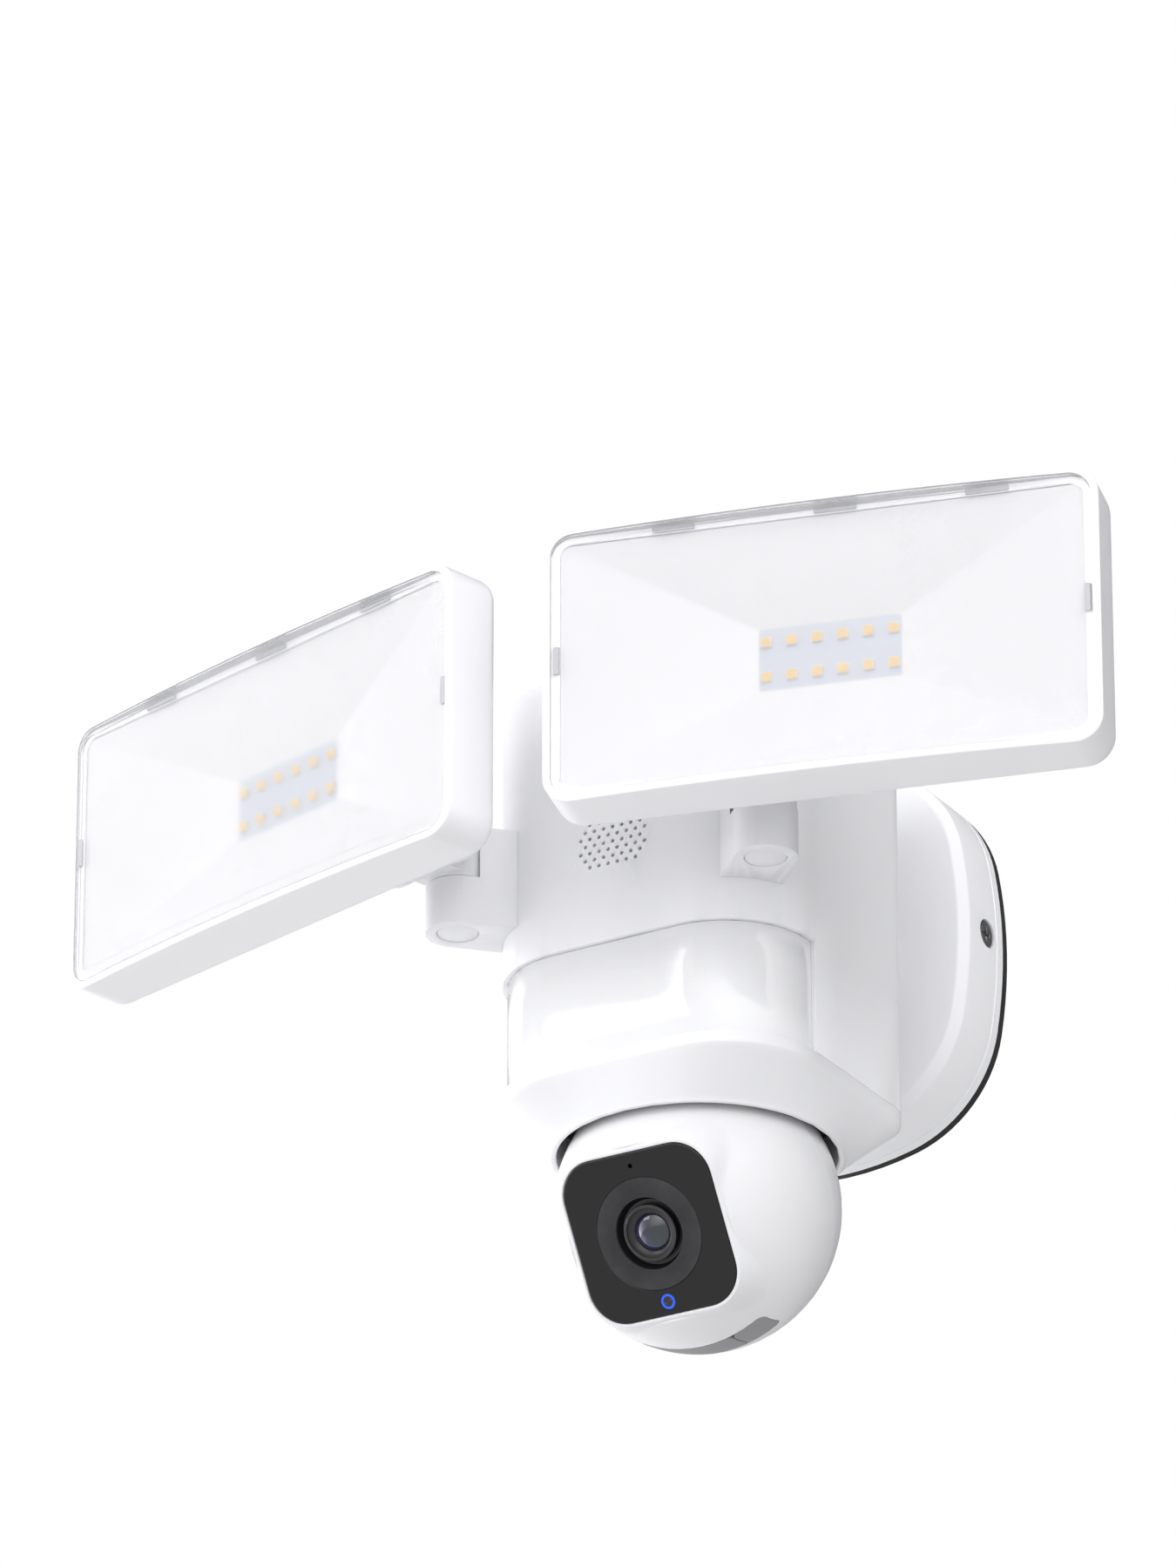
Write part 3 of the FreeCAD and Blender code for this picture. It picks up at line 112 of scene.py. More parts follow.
def between(start: Point, stop: Point, steps: int) -> list[Point]:
    """The points strictly between two others."""
    return [(start[0] + (stop[0] - start[0]) * step / steps,
             start[1] + (stop[1] - start[1]) * step / steps) for step in range(1, steps)]


def box_outline(half_x: float, half_y: float, radius: float, arc_steps: int = 10,
                side_steps: int = 1) -> list[Point]:
    """A rounded rectangle about the origin, by its half sizes.

    Args:
        half_x: half of the width.
        half_y: half of the height.
        radius: radius of the four corners.
        arc_steps: spans in each corner's arc.
        side_steps: spans in each straight side.

    Returns:
        The outline's points, in order.
    """
    corners = [(-half_x, -half_y, radius), (half_x, -half_y, radius),
               (half_x, half_y, radius), (-half_x, half_y, radius)]
    return rounded_outline(corners, arc_steps, side_steps)


def circle_outline(radius: float, count: int) -> list[Point]:
    """Points round a circle."""
    return [(radius * math.cos(2 * math.pi * step / count),
             radius * math.sin(2 * math.pi * step / count)) for step in range(count)]


def drawn_to_circle(outline: Sequence[Point], radius: float) -> list[Point]:
    """An outline's points moved straight in or out to a circle about the origin."""
    return [(x * radius / math.hypot(x, y), y * radius / math.hypot(x, y)) for x, y in outline]


def facing_front(outline: Sequence[Point], y: float) -> Ring:
    """An outline drawn as x and z, standing at one depth."""
    return [Vector((x, y, z)) for x, z in outline]


def lying(outline: Sequence[Point], z: float) -> Ring:
    """An outline drawn as x and y, lying at one height."""
    return [Vector((x, y, z)) for x, y in outline]


# ------------------------------------------------------------------ meshes
def make_object(name: str, verts: Sequence[Vector], faces: Sequence[Sequence[int]],
                place: Matrix = WORLD) -> bpy.types.Object:
    """A mesh object from points and faces.

    Args:
        name: the piece's name.
        verts: points in the sub-assembly's millimetres.
        faces: point numbers of each face.
        place: the sub-assembly's frame, which turns millimetres into metres.

    Returns:
        The object, at the scene's origin.
    """
    mesh = bpy.data.meshes.new(name)
    mesh.from_pydata([tuple(place @ point) for point in verts], [], faces)
    work = bmesh.new()
    work.from_mesh(mesh)
    bmesh.ops.recalc_face_normals(work, faces=work.faces)
    work.to_mesh(mesh)
    work.free()
    obj = bpy.data.objects.new(name, mesh)
    bpy.context.scene.collection.objects.link(obj)
    soften_shading(obj)
    return obj


def soften_shading(obj: bpy.types.Object, angle: float = 35.0) -> None:
    """Smooth shading that keeps edges sharper than an angle in degrees."""
    obj.data.shade_smooth()
    obj.data.set_sharp_from_angle(angle=math.radians(angle))


def loft(name: str, rings: Sequence[Ring], place: Matrix = WORLD, closed: bool = False,
         caps: bool = False, keep: Callable[[Vector], bool] | None = None) -> bpy.types.Object:
    """A skin over rings that all have the same number of points.

    Args:
        name: the piece's name.
        rings: the rings in order.
        place: the sub-assembly's frame.
        closed: join the last ring to the first.
        caps: close the first and last ring with a face each.
        keep: a test on a face's middle; faces that fail it are left out.

    Returns:
        The new object.
    """
    count = len(rings[0])
    verts = [point for ring in rings for point in ring]
    faces: list[list[int]] = []
    spans = len(rings) if closed else len(rings) - 1
    for span in range(spans):
        low, high = span * count, (span + 1) % len(rings) * count
        for step in range(count):
            following = (step + 1) % count
            face = [low + step, low + following, high + following, high + step]
            middle = sum((verts[index] for index in face), Vector()) / 4
            if keep is None or keep(middle):
                faces.append(face)
    if caps:
        faces.append(list(range(count)))
        faces.append(list(range((len(rings) - 1) * count, len(rings) * count)))
    return make_object(name, verts, faces, place)


def spin(name: str, profile: Sequence[Point], place: Matrix, count: int = 72,
         closed: bool = True) -> bpy.types.Object:
    """A turned piece about the Y axis.

    Args:
        name: the piece's name.
        profile: y and radius of each corner of the section.
        place: the sub-assembly's frame.
        count: points round each ring.
        closed: join the section's last corner to its first; otherwise both ends are capped.

    Returns:
        The new object.
    """
    rings = [facing_front(circle_outline(radius, count), y) for y, radius in profile]
    return loft(name, rings, place, closed=closed, caps=not closed)


def apply_modifiers(obj: bpy.types.Object) -> None:
    """Turn an object's modifiers into its mesh.

    Args:
        obj: the object, whose mesh is replaced.
    """
    graph = bpy.context.evaluated_depsgraph_get()
    graph.update()
    mesh = bpy.data.meshes.new_from_object(obj.evaluated_get(graph))
    obj.modifiers.clear()
    obj.data = mesh
    soften_shading(obj)


def bevel(obj: bpy.types.Object, width: float, segments: int = 2, angle: float = 32.0) -> None:
    """Round an object's sharp edges.

    Args:
        obj: the object.
        width: the round's width in millimetres.
        segments: spans across the round.
        angle: edges that turn by more than this many degrees are rounded.
    """
    modifier = obj.modifiers.new("bevel", "BEVEL")
    modifier.width = width * MM
    modifier.segments = segments
    modifier.limit_method = "ANGLE"
    modifier.angle_limit = math.radians(angle)
    modifier.use_clamp_overlap = True
    modifier.harden_normals = True
    apply_modifiers(obj)


def thicken(obj: bpy.types.Object, gauge: float) -> None:
    """Give an open skin a wall, measured inwards in millimetres.

    Args:
        obj: the open skin.
        gauge: the wall's thickness in millimetres.
    """
    modifier = obj.modifiers.new("wall", "SOLIDIFY")
    modifier.thickness = gauge * MM
    modifier.offset = -1.0
    modifier.use_even_offset = True
    modifier.use_rim = True
    apply_modifiers(obj)


def carve(obj: bpy.types.Object, tools: Iterable[bpy.types.Object]) -> None:
    """Cut tool shapes out of an object and throw the tools away.

    Args:
        obj: the object that is cut.
        tools: closed shapes, which are removed afterwards.
    """
    for tool in tools:
        modifier = obj.modifiers.new("cut", "BOOLEAN")
        modifier.operation = "DIFFERENCE"
        modifier.solver = "EXACT"
        modifier.object = tool
        apply_modifiers(obj)
        bpy.data.objects.remove(tool, do_unlink=True)


def merge(name: str, parts: Sequence[bpy.types.Object]) -> bpy.types.Object:
    """Several meshes kept together as one piece.

    Args:
        name: the piece's name.
        parts: the objects, which are used up.

    Returns:
        The new object.
    """
    work = bmesh.new()
    for part in parts:
        work.from_mesh(part.data)
    mesh = bpy.data.meshes.new(name)
    work.to_mesh(mesh)
    work.free()
    for part in parts:
        bpy.data.objects.remove(part, do_unlink=True)
    obj = bpy.data.objects.new(name, mesh)
    bpy.context.scene.collection.objects.link(obj)
    soften_shading(obj)
    return obj


def peg(radius: float, start: Vector, stop: Vector, place: Matrix = WORLD,
        count: int = 32) -> bpy.types.Object:
    """A round peg between two points, used as a cutting tool or a small part.

    Args:
        radius: the peg's radius.
        start: centre of one end.
        stop: centre of the other end.
        place: the sub-assembly's frame.
        count: sides of the round.

    Returns:
        The peg.
    """
    along = (stop - start).normalized()
    turn = Vector((0, 0, 1)).rotation_difference(along).to_matrix()
    rings = [[turn @ Vector((x, y, 0)) + end for x, y in circle_outline(radius, count)]
             for end in (start, stop)]
    return loft("peg", rings, place, caps=True)


def slab(half_x: float, half_z: float, radius: float, y_front: float, y_back: float,
         place: Matrix = WORLD, centre: Point = (0.0, 0.0)) -> bpy.types.Object:
    """A rounded plate that faces the front, between two depths.

    Args:
        half_x: half of the width.
        half_z: half of the height.
        radius: radius of the corners.
        y_front: depth of the front face.
        y_back: depth of the back face.
        place: the sub-assembly's frame.
        centre: x and z of the plate's middle.

    Returns:
        The plate.
    """
    outline = [(x + centre[0], z + centre[1]) for x, z in box_outline(half_x, half_z, radius)]
    return loft("slab", [facing_front(outline, y_front), facing_front(outline, y_back)], place,
                caps=True)


def refined(node: str, width: float, segments: int = 2) -> bpy.types.Object:
    """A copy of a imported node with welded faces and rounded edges.

    Args:
        node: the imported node.
        width: the round's width in millimetres.
        segments: spans across the round.

    Returns:
        The new object, which stands for the node.
    """
    mesh = frame["nodes"][node].data.copy()
    work = bmesh.new()
    work.from_mesh(mesh)
    bmesh.ops.remove_doubles(work, verts=work.verts, dist=1e-6)
    bmesh.ops.dissolve_limit(work, angle_limit=math.radians(0.5), verts=work.verts,
                             edges=work.edges)
    work.to_mesh(mesh)
    work.free()
    obj = bpy.data.objects.new(f"{node}_shell", mesh)
    bpy.context.scene.collection.objects.link(obj)
    bevel(obj, width, segments)
    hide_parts(node)
    return obj


def finish_piece(obj: bpy.types.Object, name: str, body: str, material: bpy.types.Material,
                 slot: str, *nodes: str) -> bpy.types.Object:
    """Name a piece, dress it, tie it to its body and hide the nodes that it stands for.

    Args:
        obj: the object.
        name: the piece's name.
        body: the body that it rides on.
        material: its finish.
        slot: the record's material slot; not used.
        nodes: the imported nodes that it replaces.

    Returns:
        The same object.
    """
    obj.name = name
    obj.data.name = name
    obj.data.materials.clear()
    obj.data.materials.append(material)
    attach(obj, body)
    if nodes:
        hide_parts(*nodes)
    LOG.info("%s: %d faces on %s", name, len(obj.data.polygons), body)
    return obj


# ------------------------------------------------------------------ shared effects
@dataclass
class EffectLibrary:
    """Shader node groups that several finishes share, each built once."""

    groups: dict[str, bpy.types.NodeTree] = field(default_factory=dict)

    def new_group(self, name: str, inputs: dict[str, float],
                  outputs: dict[str, str]) -> NewGroup:
        """An empty group with named sockets.

        Args:
            name: the group's name.
            inputs: each number input and its default.
            outputs: each output and its socket type.

        Returns:
            The group, its input node and its output node.
        """
        tree = bpy.data.node_groups.new(name, "ShaderNodeTree")
        for label, default in inputs.items():
            socket = tree.interface.new_socket(label, in_out="INPUT", socket_type="NodeSocketFloat")
            socket.default_value = default
        for label, kind in outputs.items():
            tree.interface.new_socket(label, in_out="OUTPUT", socket_type=kind)
        self.groups[name] = tree
        return tree, tree.nodes.new("NodeGroupInput"), tree.nodes.new("NodeGroupOutput")

    def moulded_grain(self) -> bpy.types.NodeTree:
        """Fine spark-eroded grain and slow waviness of moulded plastic.

        Returns:
            The group, with Height and Roughness outputs.
        """
        if "moulded_grain" in self.groups:
            return self.groups["moulded_grain"]
        tree, given, put = self.new_group(
            "moulded_grain", {"Scale": 1800.0, "Roughness": 0.4, "Spread": 0.06},
            {"Height": "NodeSocketFloat", "Roughness": "NodeSocketFloat"})
        place = tree.nodes.new("ShaderNodeTexCoord")
        grain = add_noise(tree, place.outputs["Object"], 1800.0, 3.0, 0.6)
        tree.links.new(given.outputs["Scale"], grain.inputs["Scale"])
        waves = add_noise(tree, place.outputs["Object"], 28.0, 2.0, 0.5)
        tree.links.new(add_math(tree, "ADD", grain.outputs["Fac"],
                                add_math(tree, "MULTIPLY", waves.outputs["Fac"], 0.6)),
                       put.inputs["Height"])
        swing = add_math(tree, "SUBTRACT", waves.outputs["Fac"], 0.5)
        fine = add_math(tree, "MULTIPLY",
                        add_math(tree, "SUBTRACT", grain.outputs["Fac"], 0.5), 0.5)
        spread = add_math(tree, "MULTIPLY", add_math(tree, "ADD", swing, fine),
                          given.outputs["Spread"])
        tree.links.new(add_math(tree, "ADD", spread, given.outputs["Roughness"]),
                       put.inputs["Roughness"])
        return tree

    def dust_film(self) -> bpy.types.NodeTree:
        """A faint film that gathers in patches, as a mask from 0 to 1.

        Returns:
            The group, with one mask output.
        """
        if "dust_film" in self.groups:
            return self.groups["dust_film"]
        tree, given, put = self.new_group("dust_film", {"Scale": 16.0, "Amount": 0.3},
                                          {"Mask": "NodeSocketFloat"})
        place = tree.nodes.new("ShaderNodeTexCoord")
        patches = add_noise(tree, place.outputs["Object"], 16.0, 5.0, 0.62)
        tree.links.new(given.outputs["Scale"], patches.inputs["Scale"])
        ramp = tree.nodes.new("ShaderNodeMapRange")
        ramp.inputs["From Min"].default_value = 0.42
        ramp.inputs["From Max"].default_value = 0.75
        tree.links.new(patches.outputs["Fac"], ramp.inputs["Value"])
        tree.links.new(add_math(tree, "MULTIPLY", ramp.outputs["Result"], given.outputs["Amount"]),
                       put.inputs["Mask"])
        return tree

    def edge_wear(self) -> bpy.types.NodeTree:
        """A mask that is 1 on the rounded edges, broken up by noise.

        Returns:
            The group, with one mask output.
        """
        if "edge_wear" in self.groups:
            return self.groups["edge_wear"]
        tree, given, put = self.new_group("edge_wear", {"Scale": 90.0, "Amount": 0.4},
                                          {"Mask": "NodeSocketFloat"})
        shape = tree.nodes.new("ShaderNodeNewGeometry")
        ramp = tree.nodes.new("ShaderNodeMapRange")
        ramp.inputs["From Min"].default_value = 0.505
        ramp.inputs["From Max"].default_value = 0.6
        tree.links.new(shape.outputs["Pointiness"], ramp.inputs["Value"])
        place = tree.nodes.new("ShaderNodeTexCoord")
        breaks = add_noise(tree, place.outputs["Object"], 90.0, 4.0, 0.6)
        tree.links.new(given.outputs["Scale"], breaks.inputs["Scale"])
        worn = add_math(tree, "MULTIPLY", ramp.outputs["Result"], breaks.outputs["Fac"])
        tree.links.new(add_math(tree, "MULTIPLY", worn, given.outputs["Amount"]),
                       put.inputs["Mask"])
        return tree


def add_noise(tree: bpy.types.NodeTree, where: bpy.types.NodeSocket, scale: float, detail: float,
              roughness: float) -> bpy.types.Node:
    """A noise texture node fed from a coordinate.

    Args:
        tree: the node tree.
        where: the coordinate socket.
        scale: the noise's scale.
        detail: octaves of finer noise.
        roughness: strength of the finer octaves.

    Returns:
        The noise node.
    """
    noise = tree.nodes.new("ShaderNodeTexNoise")
    noise.inputs["Scale"].default_value = scale
    noise.inputs["Detail"].default_value = detail
    noise.inputs["Roughness"].default_value = roughness
    tree.links.new(where, noise.inputs["Vector"])
    return noise


def add_math(tree: bpy.types.NodeTree, operation: str, first: bpy.types.NodeSocket | float,
             second: bpy.types.NodeSocket | float) -> bpy.types.NodeSocket:
    """One sum on two values, each a socket or a number.

    Args:
        tree: the node tree.
        operation: the sum's name, such as ADD.
        first: the first value.
        second: the second value.

    Returns:
        The result's socket.
    """
    node = tree.nodes.new("ShaderNodeMath")
    node.operation = operation
    for socket, value in zip(node.inputs, (first, second)):
        if isinstance(value, (int, float)):
            socket.default_value = value
        else:
            tree.links.new(value, socket)
    return node.outputs[0]


def add_colour_mix(tree: bpy.types.NodeTree, mask: bpy.types.NodeSocket,
                   plain: Sequence[float], marked: Sequence[float]) -> bpy.types.NodeSocket:
    """A blend of two colours by a mask.

    Args:
        tree: the node tree.
        mask: 0 for the plain colour and 1 for the marked one.
        plain: the colour where the mask is 0.
        marked: the colour where the mask is 1.

    Returns:
        The result's socket.
    """
    node = tree.nodes.new("ShaderNodeMix")
    node.data_type = "RGBA"
    tree.links.new(mask, node.inputs["Factor"])
    node.inputs["A"].default_value = (*plain, 1.0)
    node.inputs["B"].default_value = (*marked, 1.0)
    return node.outputs["Result"]


EFFECTS = EffectLibrary()


# ------------------------------------------------------------------ finishes
@dataclass(frozen=True)
class Finish:
    """A moulded, painted or plated finish with grain, dust and wear.

    The colours are linear. The grain's scale is in cycles a metre and its depth is in metres.
    """

    name: str
    colour: tuple[float, float, float]
    film: tuple[float, float, float]
    roughness: float = 0.4
    spread: float = 0.08
    grain: float = 1800.0
    depth: float = 0.00002
    film_amount: float = 0.25
    wear: tuple[float, float, float] | None = None
    wear_amount: float = 0.4
    metallic: float = 0.0
    coat: float = 0.0
    coat_roughness: float = 0.1
    specular: float = 0.5
    subsurface: float = 0.0
    # glow is light given off: a real lamp on the status ring, painted light on the lens seal.
    glow: tuple[float, float, float] | None = None
    glow_strength: float = 0.0

    def shader(self, material: bpy.types.Material) -> bpy.types.Node:
        """The material's own Principled shader."""
        material.use_nodes = True
        return material.node_tree.nodes["Principled BSDF"]

    def group_node(self, tree: bpy.types.NodeTree, group: bpy.types.NodeTree,
                   **values: float) -> bpy.types.Node:
        """A shared effect placed in the material with this finish's values.

        Args:
            tree: the material's node tree.
            group: the shared effect.

        Returns:
            The group node.
        """
        node = tree.nodes.new("ShaderNodeGroup")
        node.node_tree = group
        for label, value in values.items():
            node.inputs[label].default_value = value
        return node

    def build(self) -> bpy.types.Material:
        """The material.

        Returns:
            A node material whose colour, roughness and bump vary over the surface.
        """
        material = bpy.data.materials.new(self.name)
        shader = self.shader(material)
        tree = material.node_tree
        grain = self.group_node(tree, EFFECTS.moulded_grain(), Scale=self.grain,
                                Roughness=self.roughness, Spread=self.spread)
        dust = self.group_node(tree, EFFECTS.dust_film(), Amount=self.film_amount)
        colour = add_colour_mix(tree, dust.outputs["Mask"], self.colour, self.film)
        if self.wear:
            worn = self.group_node(tree, EFFECTS.edge_wear(), Amount=self.wear_amount)
            mix = tree.nodes.new("ShaderNodeMix")
            mix.data_type = "RGBA"
            tree.links.new(worn.outputs["Mask"], mix.inputs["Factor"])
            tree.links.new(colour, mix.inputs["A"])
            mix.inputs["B"].default_value = (*self.wear, 1.0)
            colour = mix.outputs["Result"]
        tree.links.new(colour, shader.inputs["Base Color"])
        tree.links.new(grain.outputs["Roughness"], shader.inputs["Roughness"])
        bump = tree.nodes.new("ShaderNodeBump")
        bump.inputs["Strength"].default_value = 0.35
        bump.inputs["Distance"].default_value = self.depth
        tree.links.new(grain.outputs["Height"], bump.inputs["Height"])
        tree.links.new(bump.outputs["Normal"], shader.inputs["Normal"])
        shader.inputs["Metallic"].default_value = self.metallic
        shader.inputs["Coat Weight"].default_value = self.coat
        shader.inputs["Coat Roughness"].default_value = self.coat_roughness
        shader.inputs["Specular IOR Level"].default_value = self.specular
        shader.inputs["Subsurface Weight"].default_value = self.subsurface
        shader.inputs["Subsurface Scale"].default_value = 0.002
        if self.glow:
            shader.inputs["Emission Color"].default_value = (*self.glow, 1.0)
            shader.inputs["Emission Strength"].default_value = self.glow_strength
        return material


@dataclass(frozen=True)
class ClearFinish(Finish):
    """A finish that lets light through: the frosted light lens and the camera's coated glass."""

    transmission: float = 1.0
    ior: float = 1.45

    def build(self) -> bpy.types.Material:
        """The material, with its transmission set on the shader itself.

        Returns:
            The finished material.
        """
        material = super().build()
        shader = self.shader(material)
        shader.inputs["Transmission Weight"].default_value = self.transmission
        shader.inputs["IOR"].default_value = self.ior
        return material


@dataclass(frozen=True)
class GlassWithPaintedSheenFinish(ClearFinish):
    """Coated camera glass with a painted reflection: its colour turns from violet at the rim to
    green in the middle with the view's glance.
    """

    def build(self) -> bpy.types.Material:
        """The material, its colour mixed by the view's glance on the glass as a painted reflection.

        Returns:
            The finished material.
        """
        material = super().build()
        tree = material.node_tree
        shader = self.shader(material)
        # painted reflection: the coating's violet at glancing views, dark blue between and dark
        # green facing the view
        glance = tree.nodes.new("ShaderNodeLayerWeight")
        glance.inputs["Blend"].default_value = 0.45
        ramp = tree.nodes.new("ShaderNodeValToRGB")
        ramp.color_ramp.elements[0].color = (0.004, 0.012, 0.016, 1.0)
        ramp.color_ramp.elements[1].color = (0.16, 0.07, 0.15, 1.0)
        middle = ramp.color_ramp.elements.new(0.35)
        middle.color = (0.012, 0.016, 0.07, 1.0)
        tree.links.new(glance.outputs["Facing"], ramp.inputs["Fac"])
        tree.links.new(ramp.outputs["Color"], shader.inputs["Base Color"])
        return material


WHITE = (0.86, 0.86, 0.875)
FINISHES = (
    Finish("white_shell", WHITE, (0.80, 0.80, 0.815), roughness=0.42, spread=0.1,
           wear=(0.95, 0.95, 0.95), wear_amount=0.5, subsurface=0.04),
    Finish("white_light_shell", (0.87, 0.87, 0.885), (0.82, 0.82, 0.835), roughness=0.36,
           spread=0.08, grain=2200.0, wear=(0.96, 0.96, 0.96), wear_amount=0.5),
    Finish("window_gloss", (0.84, 0.84, 0.85), (0.81, 0.81, 0.82), roughness=0.14, spread=0.03,
           grain=500.0, depth=0.000004, film_amount=0.15, coat=0.6, coat_roughness=0.04,
           subsurface=0.1),
    # Ball shell: the same white plastic as the column, set darker (0.80 against 0.86) as painted
    # shade for the ball's shaded right and lower side.
    Finish("ball_shell_painted_shade", (0.80, 0.80, 0.812), (0.75, 0.75, 0.762), roughness=0.34, spread=0.07,
           grain=2000.0, wear=(0.95, 0.95, 0.95), subsurface=0.04),
    Finish("black_foam", (0.012, 0.012, 0.013), (0.04, 0.04, 0.042), roughness=0.85, spread=0.15,
           grain=2600.0, depth=0.0002, film_amount=0.5),
    Finish("zinc_steel", (0.52, 0.53, 0.55), (0.36, 0.36, 0.37), roughness=0.32, spread=0.2,
           grain=900.0, metallic=1.0, wear=(0.8, 0.8, 0.8), film_amount=0.6),
    Finish("dark_steel", (0.16, 0.16, 0.17), (0.12, 0.12, 0.12), roughness=0.38, spread=0.2,
           grain=900.0, metallic=0.7, wear=(0.5, 0.5, 0.5), film_amount=0.6),
    Finish("dark_plastic", (0.035, 0.035, 0.038), (0.07, 0.07, 0.073), roughness=0.5, spread=0.12,
           wear=(0.1, 0.1, 0.1)),
    Finish("motor_can", (0.42, 0.42, 0.43), (0.3, 0.3, 0.3), roughness=0.38, spread=0.15,
           metallic=1.0, wear=(0.7, 0.7, 0.7)),
    Finish("circuit_board", (0.010, 0.075, 0.035), (0.02, 0.11, 0.05), roughness=0.3, spread=0.15,
           grain=700.0, coat=0.3, film_amount=0.8),
    Finish("black_mesh", (0.02, 0.02, 0.022), (0.05, 0.05, 0.05), roughness=0.6, grain=3000.0,
           depth=0.0001),
    Finish("black_gloss", (0.0045, 0.0045, 0.005), (0.009, 0.009, 0.0095), roughness=0.12,
           spread=0.04, grain=900.0, depth=0.000002, film_amount=0.3),
    Finish("black_bezel", (0.007, 0.007, 0.0075), (0.012, 0.012, 0.0125), roughness=0.34,
           spread=0.08, wear=(0.16, 0.16, 0.17), wear_amount=0.7, specular=0.35),
    Finish("black_matte", (0.004, 0.004, 0.0045), (0.008, 0.008, 0.0085), roughness=0.7,
           spread=0.1, specular=0.25),
    Finish("black_satin", (0.007, 0.007, 0.008), (0.016, 0.016, 0.017), roughness=0.3, spread=0.08,
           wear=(0.12, 0.12, 0.13), wear_amount=0.8),
    Finish("grey_rubber", (0.30, 0.30, 0.31), (0.36, 0.36, 0.37), roughness=0.72, spread=0.12,
           grain=2400.0, depth=0.00006, film_amount=0.4),
    Finish("reflector_white", (0.92, 0.92, 0.925), (0.88, 0.88, 0.885), roughness=0.28,
           spread=0.08, grain=1500.0),
    Finish("led_board_white", (0.72, 0.74, 0.80), (0.66, 0.68, 0.74), roughness=0.35, spread=0.1,
           grain=800.0),
    Finish("led_package", (0.85, 0.84, 0.8), (0.8, 0.78, 0.72), roughness=0.4, grain=1500.0),
    Finish("led_phosphor", (0.93, 0.70, 0.40), (0.90, 0.66, 0.36), roughness=0.45, grain=2500.0),
    Finish("status_blue", (0.01, 0.07, 0.9), (0.02, 0.12, 1.0), roughness=0.25, grain=900.0,
           glow=(0.01, 0.12, 1.0), glow_strength=0.55),
    Finish("clip_grey", (0.66, 0.66, 0.68), (0.62, 0.62, 0.64), roughness=0.4, grain=1500.0),
    # Lens seal: near-white, with a faint white glow. The glow is painted light that brightens the
    # lens border where it falls in shade, and the near-white colour brightens it too.
    Finish("seal_painted_glow", (0.93, 0.93, 0.935), (0.9, 0.9, 0.905), roughness=0.5, grain=1500.0,
           glow=(1.0, 1.0, 1.0), glow_strength=0.25),
    ClearFinish("frosted_lens", (0.985, 0.985, 0.99), (0.96, 0.96, 0.965), roughness=0.2,
                spread=0.06, grain=1300.0, depth=0.00001, film_amount=0.2, ior=1.22),
    GlassWithPaintedSheenFinish("coated_glass", (0.05, 0.05, 0.08), (0.06, 0.06, 0.09), roughness=0.02,
                      spread=0.01, grain=400.0, depth=0.000001, coat=1.0, coat_roughness=0.01,
                      transmission=0.2, ior=1.6),
)
MATERIALS: dict[str, bpy.types.Material] = {finish.name: finish.build() for finish in FINISHES}


def dress_node(node: str, finish: str) -> None:
    """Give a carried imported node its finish.

    Args:
        node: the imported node's name.
        finish: the finish's name.
    """
    mesh = frame["nodes"][node].data
    mesh.materials.clear()
    mesh.materials.append(MATERIALS[finish])
    LOG.info("%s: packed node dressed in %s", node, finish)


def body_of_node(node: str) -> str:
    """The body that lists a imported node."""
    bodies = frame["record"]["behaviour"]["bodies"]
    return next(body for body, nodes in bodies.items() if node in nodes)


def refine_and_dress(node: str, width: float, finish: str, slot: str,
                     segments: int = 2) -> bpy.types.Object:
    """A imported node's rounded copy, dressed and tied to the node's own body."""
    obj = refined(node, width, segments)
    return finish_piece(obj, f"{node}_piece", body_of_node(node), MATERIALS[finish], slot)


def node_span(node: str, axis: int) -> tuple[float, float]:
    """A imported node's extent along an axis, in millimetres."""
    low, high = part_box(node)
    return low[axis] / MM, high[axis] / MM


